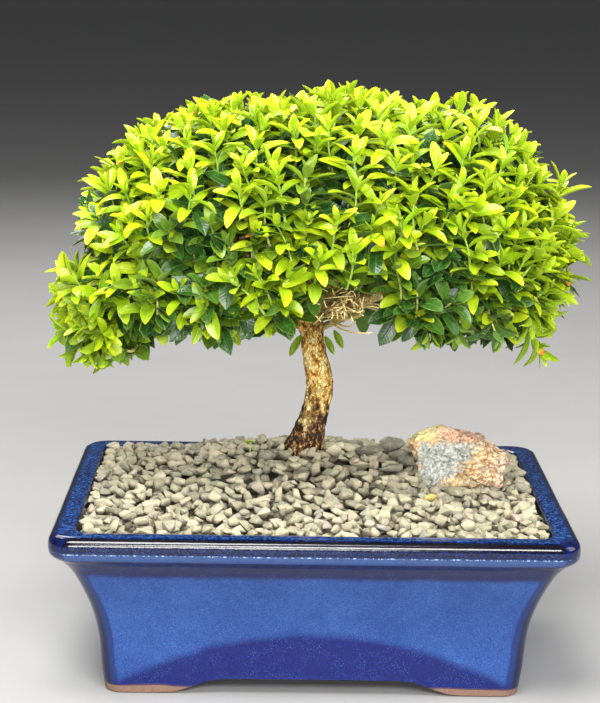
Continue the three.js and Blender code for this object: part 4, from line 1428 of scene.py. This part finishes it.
@dataclass
class AccentRock:
    """The loose stone beside the trunk."""

    voxel: float = 0.75 * MM
    # The front outline's corners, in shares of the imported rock's half width and half height.
    outline: tuple[tuple[float, float], ...] = (
        (-1.06, 0.74), (-0.78, 0.98), (-0.36, 1.2), (0.08, 0.98), (0.42, 0.9), (0.56, 0.64), (0.9, 0.28),
        (1.0, -0.1), (0.84, -0.3), (0.78, -0.98), (0.1, -1.0), (-0.66, -1.0), (-0.74, -0.5), (-0.86, 0.1),
    )
    # The main broken faces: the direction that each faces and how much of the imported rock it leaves.
    faces: tuple[tuple[float, float, float, float], ...] = (
        (-0.3, -0.95, 0.1, 0.8), (0.5, -0.85, 0.15, 0.84), (0.1, -0.7, 0.7, 0.86),
        (0.05, -0.75, -0.66, 0.9), (-0.4, 0.85, 0.3, 0.88), (0.4, 0.85, 0.35, 0.88),
    )

    def _fit_outline(self, local: Array, half: Array) -> Array:
        """Stretches the stone's points so that its front outline follows the corners."""
        shares = local[:, [0, 2]] / half[[0, 2]]
        angles = np.arctan2(shares[:, 1], shares[:, 0])
        reach = np.hypot(shares[:, 0], shares[:, 1])
        bins = np.linspace(-math.pi, math.pi, 49)
        slots = np.digitize(angles, bins) - 1
        own = np.array([reach[slots == k].max() for k in range(48)])
        middles = (bins[:-1] + bins[1:]) / 2
        corners = np.array(self.outline)
        ends = np.roll(corners, -1, axis=0)
        wanted = []
        for middle in middles:
            ray = np.array([math.cos(middle), math.sin(middle)])
            edge = ends - corners
            across = ray[0] * edge[:, 1] - ray[1] * edge[:, 0]
            along = (corners[:, 0] * edge[:, 1] - corners[:, 1] * edge[:, 0]) / across
            share = (corners[:, 0] * ray[1] - corners[:, 1] * ray[0]) / across
            wanted.append(along[(share >= 0) & (share <= 1) & (along > 0)].max())
        ratio = np.interp(angles, middles, np.array(wanted) / own, period=math.tau)
        grown = local.copy()
        grown[:, [0, 2]] *= (1 + (ratio - 1) * smoothstep(0.1, 0.6, reach))[:, None]
        return grown

    def _break_faces(self, mesh: bpy.types.Mesh, local: Array, centre: Array) -> None:
        """Cuts the main broken faces and some small chips into the stone."""
        rng = np.random.default_rng(6)
        chips = [(*unit(rng.normal(size=3)), rng.uniform(0.93, 0.97)) for _ in range(16)]
        for x, y, z, share in (*self.faces, *chips):
            facing = unit(np.array([x, y, z]))
            over = local @ facing - share * (local @ facing).max()
            local = local - np.maximum(over, 0)[:, None] * facing * 0.94
        move_mesh(mesh, local + centre)

    def build(self) -> bpy.types.Object:
        """Makes the rock.

        Returns:
            The rock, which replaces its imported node.
        """
        piece = remeshed("accent_rock_stone", "accent_rock", self.voxel, 3)
        low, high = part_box("accent_rock")
        points, _ = read_mesh(piece.data)
        middle, half = np.array((low + high) / 2), np.array((high - low) / 2)
        self._break_faces(piece.data, self._fit_outline(points - middle, half), middle)
        points, normals = read_mesh(piece.data)
        heights = []
        for point in map(Vector, points):
            layered = Vector((point.x * 45, point.y * 45, point.z * 230))
            ledges = noise.noise(layered + noise.noise_vector(point * 55) * 2.2)
            grooves = abs(noise.noise(point * 190 + noise.noise_vector(point * 80)))
            grain = noise.noise(point * 520)
            crags = noise.noise(point * 260 + noise.noise_vector(point * 110))
            crags *= 0.9 + 0.5 * (point.x > middle[0])
            heights.append((ledges * 0.9 - grooves * 1.9 + crags + grain * 0.45 + 0.3) * MM)
        move_mesh(piece.data, points + normals * np.array(heights)[:, None])
        shade_smoothly(piece.data, 34)
        piece.data.materials.append(RockStrata((low + high) / 2, (high - low) / 2).material())
        return settle(piece, "accent_rock", "accent_rock")


@dataclass
class Trunk:
    """The trunk with its branches."""

    voxel: float = 0.92 * MM
    dark_below: float = 116 * MM

    def build(self) -> bpy.types.Object:
        """Makes the trunk with its bark's relief.

        Returns:
            The trunk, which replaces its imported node.
        """
        piece = remeshed("trunk_and_branches", "trunk", self.voxel, 8)
        points, normals = read_mesh(piece.data)
        heights = []
        for point in map(Vector, points):
            stem = 1 - float(smoothstep(0.165, 0.195, point.z))
            long = Vector((point.x * 200, point.y * 200, point.z * 110))
            warp = noise.noise_vector(point * 120) * 0.6
            ridges = 1 - abs(noise.noise(long + warp)) * 2
            flakes = noise.noise(point * 330 + warp) * 0.6 + noise.noise(point * 620) * 0.4
            burl = noise.noise(point * 60)
            relief = ridges * 0.4 + flakes * 0.8 + burl * 0.9
            heights.append(relief * (0.35 + 0.65 * stem) * MM)
        move_mesh(piece.data, points + normals * np.array(heights)[:, None])
        piece.data.shade_smooth()
        piece.data.materials.append(Bark(self.dark_below).material())
        return settle(piece, "bark", "trunk")


@dataclass
class Sprig:
    """One leafy shoot of the crown."""

    tip: Array
    axis: Array
    length: float
    age: float
    owner: str

    @property
    def base(self) -> Array:
        """Where the sprig leaves its twig."""
        return self.tip - self.axis * self.length


@dataclass
class Crown:
    """All the leaves: bright sprigs over the outside, dark old leaves on the twigs inside."""

    seed: int = 41
    sprigs_wanted: int = 395
    inner_wanted: int = 2300
    view: MainView = field(default_factory=MainView)
    # The crown's outline in the main picture, in its pixels, and how far inside it a sprig stays above and
    # below the spine.
    outline: tuple[tuple[float, float], ...] = (
        (48, 330), (64, 352), (82, 368), (104, 377), (138, 366), (152, 334), (178, 330), (210, 340),
        (234, 344), (252, 330), (272, 336), (296, 330), (330, 328), (352, 326), (362, 340), (384, 342),
        (400, 336), (428, 346), (458, 352), (476, 330), (498, 350), (514, 336), (532, 352), (546, 372),
        (558, 358), (552, 334), (560, 306), (578, 304), (572, 274), (584, 258), (584, 242), (572, 214),
        (580, 190), (566, 162), (544, 168), (536, 140), (508, 118), (500, 100), (482, 92), (458, 90),
        (438, 100), (412, 104), (380, 92), (362, 90), (344, 82), (316, 84), (300, 98), (262, 98),
        (240, 94), (214, 100), (186, 98), (180, 112), (150, 118), (124, 132), (116, 152), (98, 164),
        (94, 186), (78, 206), (86, 234), (96, 250), (62, 256), (54, 282), (56, 306),
    )
    margin_above: float = 13.5
    margin_below: float = 17.0
    # The level line that sprigs are drawn in to, and the one that leaves face away from.
    spine_half: float = 72 * MM
    spine_z: float = 206 * MM
    heart: Place = (-3 * MM, 6 * MM, 188 * MM)
    heart_half: float = 62 * MM
    # How far back a sprig's tip reaches, and how far a twig may hang below the sprig that it carries.
    rearmost: float = 90 * MM
    twig_droop: float = 4 * MM
    # In millimetres: the lengths of sprigs and of young and old leaves, and the radii of stems and twigs.
    sprig_length: tuple[float, float] = (20, 28)
    young_length: float = 17.6
    old_length: tuple[float, float] = (12.5, 17.5)
    stem_radii: tuple[float, float] = (0.75, 0.42)
    twig_radii: tuple[float, float] = (1.15, 0.75)
    # Sprigs of the drooping ends: the tip's pixel and depth in millimetres, its way in the picture, its age.
    ends: tuple[tuple[float, float, float, float, float, float], ...] = (
        (66, 270, -15, -0.7, 0.6, 0.0), (62, 296, -5, -1.0, 0.25, 0.0), (76, 284, -30, -0.6, 0.5, 0.0),
        (84, 306, -32, -0.7, 0.2, 0.0), (66, 330, -18, -1.0, -0.1, 0.1), (80, 326, -34, -0.6, 0.1, 0.0),
        (92, 318, -40, -0.3, 0.5, 0.15), (74, 350, -20, -0.7, -0.8, 0.2), (88, 352, -30, -0.3, -0.9, 0.1),
        (104, 356, -28, 0.2, -1.0, 0.2), (120, 350, -26, 0.6, -0.8, 0.5), (108, 336, -42, 0.2, 0.1, 0.0),
        (124, 330, -34, 0.5, -0.3, 0.6), (98, 340, 0, -0.3, -0.7, 0.4), (112, 324, -10, 0.1, -0.5, 0.7),
        (178, 318, -50, 0.1, -1.0, 0.85), (210, 322, -55, 0.0, -1.0, 0.9), (232, 324, -50, 0.1, -0.8, 0.3),
        (428, 332, -50, -0.3, -1.0, 0.4), (458, 334, -55, 0.0, -1.0, 0.7), (496, 334, -45, 0.1, -1.0, 0.8),
        (540, 352, -12, 0.5, -0.8, 0.0), (534, 340, -18, 0.5, -0.7, 0.1), (544, 322, -10, 0.5, -0.7, 0.0),
        (530, 326, -30, 0.3, -0.8, 0.2), (558, 292, -6, 0.9, -0.3, 0.0), (546, 304, -20, 0.6, -0.4, 0.1),
        (568, 252, -6, 1.0, 0.1, 0.0),
    )
    # Where the crown opens on its inside: a pixel, a depth and a radius in millimetres.
    openings: tuple[tuple[float, float, float, float], ...] = (
        (350, 303, -70, 26), (356, 300, -50, 20), (316, 338, -30, 20), (300, 330, -60, 13),
    )
    # Parts of the crown's face where old leaves show: a middle and radius in millimetres, and their age.
    shade: tuple[tuple[float, float, float, float, float], ...] = (
        (-58, -70, 216, 34, 1.0), (-78, -60, 200, 24, 0.8), (0, -70, 252, 24, 0.75),
        (54, -72, 205, 34, 1.0), (62, -62, 184, 26, 0.9), (-30, -72, 240, 18, 0.6),
    )
    # A sprig's pairs of leaves: how far up its stem, angle to it in degrees, size, and how much older.
    pairs: tuple[tuple[float, float, float, float], ...] = (
        (0.16, 62, 0.9, 0.5), (0.38, 57, 1.0, 0.25), (0.58, 51, 1.0, 0.08),
        (0.77, 42, 0.95, 0), (0.91, 29, 0.76, 0), (1.0, 12, 0.5, 0),
    )
    # The small leaves on the top of the trunk: the pixel and depth in millimetres of each one's foot.
    trunk_leaves: tuple[tuple[float, float, float], ...] = (
        (301, 335, 14), (325, 336, 14), (299, 338, 18), (334, 330, 8),
    )
    trunk_pixel: float = 313
    # The tangle of dead twigs: the pixel and depth in millimetres of its middle, its start, its twigs.
    tangle: tuple[float, float, float] = (348, 305, -68)
    tangle_start: Place = (6 * MM, 6 * MM, 176 * MM)
    tangle_twigs: int = 60

    def __post_init__(self) -> None:
        """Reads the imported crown."""
        self.rng = np.random.default_rng(self.seed)
        self.shoots = sorted(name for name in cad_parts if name.startswith("shoot_"))
        self.clouds = {name: node_points(name) for name in self.shoots}
        self.outer = np.concatenate(list(self.clouds.values()))
        self.packed = tree_of(np.concatenate([self.outer, node_points("inner_foliage")]))
        wood = node_points("trunk")
        self.wood = wood[wood[:, 2] > 0.162]
        self.wood_tree = tree_of(self.wood)

    def _outwards(self, point: Array) -> Array:
        """The direction out of the crown at a point, from the nearest place on its level heart line."""
        x = min(max(point[0] - self.heart[0], -self.heart_half), self.heart_half)
        return unit(point - (np.array(self.heart) + [x, 0, 0]))

    def _envelope(self, count: int) -> list[tuple[Array, Array]]:
        """Points spread at random over the crown's envelope, with the direction that it faces there."""
        bm = bmesh.new()
        for point in self.outer:
            bm.verts.new(point)
        keep_hull(bm)
        bm.normal_update()
        faces = [face for face in bm.faces if face.normal.z > -0.72]
        areas = np.array([face.calc_area() for face in faces])
        corners = np.array([[vertex.co for vertex in face.verts[:3]] for face in faces])
        normals = np.array([face.normal for face in faces])
        bm.free()
        picks = self.rng.choice(len(faces), size=count, p=areas / areas.sum())
        u, v = self.rng.random((2, count))
        u, v = np.where(u + v > 1, 1 - u, u), np.where(u + v > 1, 1 - v, v)
        a, b, c = corners[picks].transpose(1, 0, 2)
        points = a + (b - a) * u[:, None] + (c - a) * v[:, None]
        near = [self.packed.find(point)[2] < 15 * MM for point in points]
        return [(point, normals[pick]) for point, pick, kept in zip(points, picks, near) if kept]

    def _age(self, point: Array) -> float:
        """How old the leaves are at a point, from the shaded parts of the crown."""
        oldest = 0.0
        for x, y, z, radius, age in self.shade:
            distance = float(np.linalg.norm(point - np.array([x, y, z]) * MM))
            depth = 1 - float(smoothstep(radius * 0.55 * MM, radius * MM, distance))
            oldest = max(oldest, age * depth)
        return oldest

    def _pulled_in(self, tip: Array, stem: Array) -> Array:
        """A sprig's tip, moved towards the crown's level spine until its stem shows inside the outline."""
        outline = np.array(self.outline)
        for _ in range(24):
            spine_x = min(max(tip[0] - self.heart[0], -self.spine_half), self.spine_half) + self.heart[0]
            away = np.array([tip[0] - spine_x, 0.0, tip[2] - self.spine_z])
            margin = self.margin_above if away[2] > 0 else self.margin_below
            room = min(inside_by(self.view.pixel(spot), outline) for spot in (tip, tip - stem))
            if room >= margin:
                break
            tip = tip - unit(away) * 1.5 * MM
        return tip

    def _in_opening(self, tip: Array) -> bool:
        """Whether a sprig's tip would close one of the crown's openings."""
        return any(
            np.linalg.norm(tip - self.view.point(across, down, depth * MM)) < radius * MM
            for across, down, depth, radius in self.openings
        )

    def _spread(self, centres: Array) -> list[tuple[Array, Array]]:
        """Places spread evenly over the envelope and how it faces there, first one near each shoot."""
        candidates = self._envelope(9000)
        spots = np.array([point for point, _ in candidates])
        taken = [candidates[int(np.argmin(np.sum((spots - centre) ** 2, axis=1)))] for centre in centres]
        while len(taken) < self.sprigs_wanted:
            picks = self.rng.integers(len(candidates), size=26)
            chosen = np.array([point for point, _ in taken])
            room = [float(np.min(np.sum((chosen - candidates[pick][0]) ** 2, axis=1))) for pick in picks]
            taken.append(candidates[picks[int(np.argmax(room))]])
        return taken

    def _outer_sprig(self, point: Array, normal: Array, owner: str) -> Sprig:
        """The sprig at a place on the envelope, sunk deeper and older in the crown's hollows."""
        out = self._outwards(point)
        lift = 0.12 + 0.62 * float(smoothstep(-0.5, 0.25, out[2]))
        axis = unit(out * 0.58 + normal * 0.15 + [0, 0, lift] + self.rng.normal(size=3) * 0.24)
        shaded = 1 - 0.75 * float(smoothstep(0.25, 0.75, out[2]))
        hollow = float(np.clip(0.5 + 0.95 * noise.noise(Vector(point) * 34), 0, 1)) * shaded
        age = float(np.clip(self._age(point) + 0.9 * smoothstep(0.56, 0.92, hollow) - 0.15, 0, 1))
        sunk = (1.5 + 4 * self.rng.random() + 15 * hollow**1.5 + 8 * age) * MM
        length = self.rng.uniform(*self.sprig_length) * MM * (1 - 0.25 * age)
        tip = self._pulled_in(point - out * sunk, axis * length)
        tip[1] = min(tip[1], self.rearmost)
        return Sprig(tip, axis, length, age, owner)

    def grow(self) -> list[Sprig]:
        """Grows the sprigs, each owned by the nearest packed shoot, so that each shoot has at least one.

        Returns:
            The sprigs of the outside, of the drooping ends and of shoots that have no other.
        """
        centres = np.array([self.clouds[name].mean(axis=0) for name in self.shoots])

        def nearest(place: Array) -> str:
            """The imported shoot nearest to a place."""
            return self.shoots[int(np.argmin(np.sum((centres - place) ** 2, axis=1)))]

        sprigs = [self._outer_sprig(point, normal, nearest(point)) for point, normal in self._spread(centres)]
        sprigs = [sprig for sprig in sprigs if not self._in_opening(sprig.tip)]
        for across, down, depth, right, up, age in self.ends:
            tip = self.view.point(across, down, depth * MM)
            axis = unit(np.array([right, -0.45, up]) + self.rng.normal(size=3) * 0.12)
            sprigs.append(Sprig(tip, axis, self.rng.uniform(20, 26) * MM, age, nearest(tip)))
        owned = {sprig.owner for sprig in sprigs}
        for name, centre in zip(self.shoots, centres):
            if name not in owned:
                axis = self._outwards(centre)
                sprigs.append(Sprig(centre + axis * 6 * MM, axis, 22 * MM, 0.0, name))
        return sprigs

    def _stem(self, sprig: Sprig) -> Array:
        """The middle line of a sprig's stem, which bows a little."""
        bow = unit(np.cross(sprig.axis, self.rng.normal(size=3))) * sprig.length * 0.06
        shares = np.linspace(0, 1, 6)
        line = sprig.base + np.outer(shares, sprig.axis * sprig.length)
        return line + np.outer(np.sin(shares * math.pi), bow)

    @staticmethod
    def _leaf_way(
        axis: Array, beside: tuple[Array, Array], angle: float, opened: float, lift: float
    ) -> tuple[Array, Array]:
        """The direction in which a leaf leaves a stem, and the one that its upper side faces.

        Args:
            axis: The stem's direction.
            beside: Two directions square to it and to each other.
            angle: How far round the stem the leaf stands, in radians.
            opened: Its angle to the stem, in radians.
            lift: How much more it faces up.

        Returns:
            Both directions.
        """
        out = math.cos(angle) * beside[0] + math.sin(angle) * beside[1]
        along = axis * math.cos(opened) + out * math.sin(opened)
        facing = axis * math.sin(opened) - out * math.cos(opened) + np.array([0, 0, lift])
        return along, facing

    def _young_leaves(self, sprig: Sprig, stem: Array, leaves: LeafSet) -> None:
        """Adds a sprig's leaves in opposite pairs, each pair turned a quarter from the last."""
        rng = self.rng
        side = unit(np.cross(sprig.axis, rng.normal(size=3)))
        beside = (side, np.cross(sprig.axis, side))
        spin = rng.uniform(0, math.tau)
        chance = rng.random()
        riper = 0.11 * (1 - float(smoothstep(0.0, 0.6, self._outwards(sprig.tip)[2])))
        round_tip = 0.35 + 0.55 * sprig.age
        for pair, (up, open_degrees, size, older) in enumerate(self.pairs):
            base = point_on(stem, up)
            for half in (0, 1):
                if pair == 0 and rng.random() < 0.25:
                    continue
                angle = spin + pair * math.pi / 2 + half * math.pi + rng.normal() * 0.2
                opened = math.radians(open_degrees + rng.normal() * 8)
                along, facing = self._leaf_way(sprig.axis, beside, angle, opened, 0.25)
                length = self.young_length * MM * size * rng.uniform(0.8, 1.12)
                width = length * (rng.uniform(0.35, 0.43) + 0.08 * sprig.age)
                young = 1 - sprig.age - older * rng.uniform(0.2, 1.5) - riper
                tint = (min(1, max(0, young)), 0.5 * chance + 0.5 * rng.random(), 0.8 * rng.random() ** 60)
                arch = rng.uniform(0.45, 1.15) * (1 if pair < 4 else 0.6)
                fold = rng.uniform(0.15, 0.45)
                twist = rng.normal() * 0.25
                leaves.add(base, along, facing, (length, width), arch, fold, twist, tint, round_tip)

    def _twig(self, sprig: Sprig) -> Array:
        """The middle line of the twig that carries a sprig, from a branch to the sprig's base."""
        root = np.array(self.wood_tree.find(sprig.base - sprig.axis * 22 * MM)[0])
        inner = sprig.base - sprig.axis * min(20 * MM, 0.45 * np.linalg.norm(sprig.base - root))
        inner[2] = max(inner[2], sprig.base[2] - self.twig_droop)
        sag = self.rng.normal(size=3) * 2.5 * MM
        return bezier(root, (root + inner) / 2 + sag + [0, 0, 2 * MM], inner, sprig.base, 8)

    def _old_leaves(self, sprig: Sprig, twig: Array, leaves: LeafSet) -> None:
        """Adds the old leaves on the outer end of a twig."""
        rng = self.rng
        spin = rng.uniform(0, math.tau)
        side = unit(np.cross(sprig.axis, rng.normal(size=3)))
        beside = (side, np.cross(sprig.axis, side))
        outside = 0.4 * float(smoothstep(0.3, 0.9, self._outwards(sprig.tip)[2]))
        for pair in range(2 + int(rng.random() < 0.55) + int(sprig.age > 0.4)):
            base = point_on(twig, (6.9 - pair * 1.15) / 7)
            for half in (0, 1):
                angle = spin + pair * math.pi / 2 + half * math.pi + rng.normal() * 0.3
                opened = math.radians(rng.uniform(48, 84))
                along, facing = self._leaf_way(sprig.axis, beside, angle, opened, 0.35)
                length = rng.uniform(*self.old_length) * MM
                width = length * rng.uniform(0.44, 0.54)
                fresh = rng.normal(0.08, 0.1) + outside
                tint = (max(0.0, fresh), rng.random(), 0.6 * rng.random() ** 30)
                arch, fold, twist = rng.uniform(0.2, 0.8), rng.uniform(-0.12, 0.25), rng.normal() * 0.3
                leaves.add(base, along, facing, (length, width), arch, fold, twist, tint, 0.9)

    def build(self) -> list[bpy.types.Object]:
        """Makes the crown.

        Returns:
            The sprigs, each in place of its packed shoot, the old leaves in place of the core, and the twigs.
        """
        bark = TwigBark().material()
        finishes = [*(LeafFinish(side).material() for side in LeafSide), bark]
        old_batch, old = MeshBatch(margin=0.1), LeafSet(along=(0.0, 0.16, 0.38, 0.62, 0.85, 1.0))
        twig_batch = MeshBatch()
        groups = {name: (MeshBatch(), LeafSet()) for name in self.shoots}
        for sprig in self.grow():
            batch, leaves = groups[sprig.owner]
            stem = self._stem(sprig)
            twig = self._twig(sprig)
            twig[-1] = stem[0]
            stem_tint = (1 - 0.5 * sprig.age, 0.5, 0.0)
            batch.add(tube(stem, np.linspace(*self.stem_radii, len(stem)) * MM, 2, stem_tint))
            self._young_leaves(sprig, stem, leaves)
            radii = np.linspace(*self.twig_radii, len(twig)) * MM
            twig_batch.add(tube(twig, radii, 0, (0.12, 0.5, 0.0), 4))
            self._old_leaves(sprig, twig, old)
        made = []
        for name, (batch, leaves) in groups.items():
            batch.add(leaves.block())
            made.append(settle(batch.build(name.replace("shoot", "sprigs"), finishes), "new_leaf", name))
        for across, down, depth in self.trunk_leaves:
            base = self.view.point(across, down, depth * MM)
            along = np.array([math.copysign(0.45, across - self.trunk_pixel), -0.5, -0.75])
            old.add(base, along, [0, -0.7, 0.7], (11 * MM, 4.2 * MM), 0.3, 0.2, 0.0, (0.45, 0.5, 0.0), 0.9)
        old_batch.add(old.block())
        made.append(settle(old_batch.build("old_leaves", finishes), "old_leaf", "inner_foliage"))
        made.append(self._inner_leaves(finishes))
        self._dry_tangle(twig_batch)
        made.append(settle(twig_batch.build("twigs", [bark]), "bark"))
        return made

    def _inner_leaves(self, finishes: Sequence[bpy.types.Material]) -> bpy.types.Object:
        """Fills the shade inside the crown with simple dark leaves, so that no light comes through it."""
        rng = np.random.default_rng(12)
        leaves = LeafSet((-1.0, 0.0, 1.0), (0.0, 0.34, 0.72, 1.0))
        for point, _ in self._envelope(self.inner_wanted):
            out = self._outwards(point)
            inner = self._pulled_in(point - out * rng.uniform(15, 34) * MM, np.zeros(3))
            if self._in_opening(inner):
                continue
            along = unit(out * 0.3 + rng.normal(size=3) * 0.6)
            size = (rng.uniform(15, 19) * MM, rng.uniform(8, 10) * MM)
            tint = (0.0, 0.3 * rng.random(), 0.0)
            leaves.add(inner, along, out + [0, 0, 0.4], size, 0.5, 0.2, 0.0, tint, 0.9)
        batch = MeshBatch(margin=0.1)
        batch.add(leaves.block())
        return settle(batch.build("inner_leaves", finishes), "old_leaf")

    def _dry_tangle(self, batch: MeshBatch) -> None:
        """Adds the dead twigs that show under the crown's front, right of the trunk."""
        rng = np.random.default_rng(8)
        start = np.array(self.tangle_start)
        across, down, depth = self.tangle
        heart = self.view.point(across, down, depth * MM)
        for _ in range(self.tangle_twigs):
            end = heart + rng.normal(size=3) * [7.5 * MM, 5 * MM, 5 * MM]
            middle = (start + end) / 2 + rng.normal(size=3) * 7 * MM
            line = bezier(start, middle, end + rng.normal(size=3) * 6 * MM, end, 9)
            batch.add(tube(line, np.linspace(0.7, 0.25, 9) * MM, 0, (0.0, 0.5, 0.0), 4))


@dataclass
class Studio:
    """A pale floor, soft lights and the camera."""

    view: MainView = field(default_factory=MainView)
    world: Colour = (0.1, 0.102, 0.106)
    # Each light's name, place, target, sides and power.
    lights: tuple[tuple[str, Place, Place, tuple[float, float], float], ...] = (
        ("key", (-0.3, -0.6, 1.35), (0, 0, 0.2), (0.7, 0.7), 33),
        ("front_box", (0.35, -1.65, 1.0), (0, 0, 0.1), (1.2, 0.4), 42),
        ("low_front", (-0.3, -1.5, 0.36), (0, 0, 0.17), (0.8, 0.25), 14),
        ("fill_right", (1.3, -0.2, 0.8), (0, 0, 0.18), (0.8, 1.0), 10),
        ("back", (-0.3, 1.2, 1.3), (0, 0, 0.2), (1.2, 0.7), 20),
    )

    def _light(self, name: str, place: Place, target: Place, size: tuple[float, float], power: float) -> None:
        """Adds a soft light that faces a target, with its sides in metres and its power in watts."""
        data = bpy.data.lights.new(name, "AREA")
        data.shape, data.size, data.size_y, data.energy = "RECTANGLE", size[0], size[1], power
        lamp = bpy.data.objects.new(name, data)
        lamp.location = place
        lamp.rotation_euler = (Vector(target) - Vector(place)).to_track_quat("-Z", "Y").to_euler()
        bpy.context.scene.collection.objects.link(lamp)

    def build(self) -> None:
        """Makes the floor, the lights and the camera."""
        bpy.ops.mesh.primitive_plane_add(size=60, location=(0, 0, 0))
        floor = bpy.context.active_object
        floor.name = "floor"
        finish = PlainFinish("pale_floor", srgb(150, 149, 147), srgb(156, 155, 153), 3.0, 0.0, 0.75)
        floor.data.materials.append(finish.material())
        for light in self.lights:
            self._light(*light)
        world = bpy.data.worlds.new("studio")
        bpy.context.scene.world = world
        world.use_nodes = True
        world.node_tree.nodes["Background"].inputs["Color"].default_value = (*self.world, 1.0)
        data = bpy.data.cameras.new("camera")
        data.sensor_width = 36.0
        data.sensor_fit = "AUTO"
        data.lens = self.view.focal * data.sensor_width / max(self.view.width, self.view.height)
        data.clip_start, data.clip_end = 0.05, 100
        camera = bpy.data.objects.new("camera", data)
        bpy.context.scene.collection.objects.link(camera)
        axes = Matrix((self.view.right, self.view.up, tuple(-value for value in self.view.look))).transposed()
        camera.matrix_world = Matrix.Translation(self.view.place) @ axes.to_4x4()
        bpy.context.scene.camera = camera
        bpy.context.scene.view_settings.view_transform = "Standard"


def dress_hidden() -> None:
    """Gives the soil and the drain screens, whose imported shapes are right, their finishes."""
    soil = PlainFinish("damp_soil", srgb(34, 24, 18), srgb(84, 62, 46), 600, 1.2 * MM, 0.9)
    plastic = PlainFinish("screen_plastic", srgb(22, 24, 22), srgb(34, 36, 33), 1500, 0.1 * MM, 0.55)
    for name, finish in (("soil", soil), ("drain_screen_left", plastic), ("drain_screen_right", plastic)):
        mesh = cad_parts[name].data
        mesh.materials.clear()
        mesh.materials.append(finish.material())
        LOG.info("%s: packed shape kept", name)


def main() -> None:
    """Builds every piece in order and notes the sizes."""
    logging.basicConfig(level=logging.INFO, format="%(message)s")
    noise.seed_set(RELIEF_SEED)
    Studio().build()
    Pot().build()
    dress_hidden()
    ground = Ground()
    gravel = Gravel(ground)
    gravel.build()
    AccentRock().build()
    Trunk().build()
    Crown().build()
    leaf_sides = [LeafFinish(side).material() for side in LeafSide]
    gravel.build_weed([*leaf_sides, TwigBark().material()])


if __name__ == "__main__":
    main()
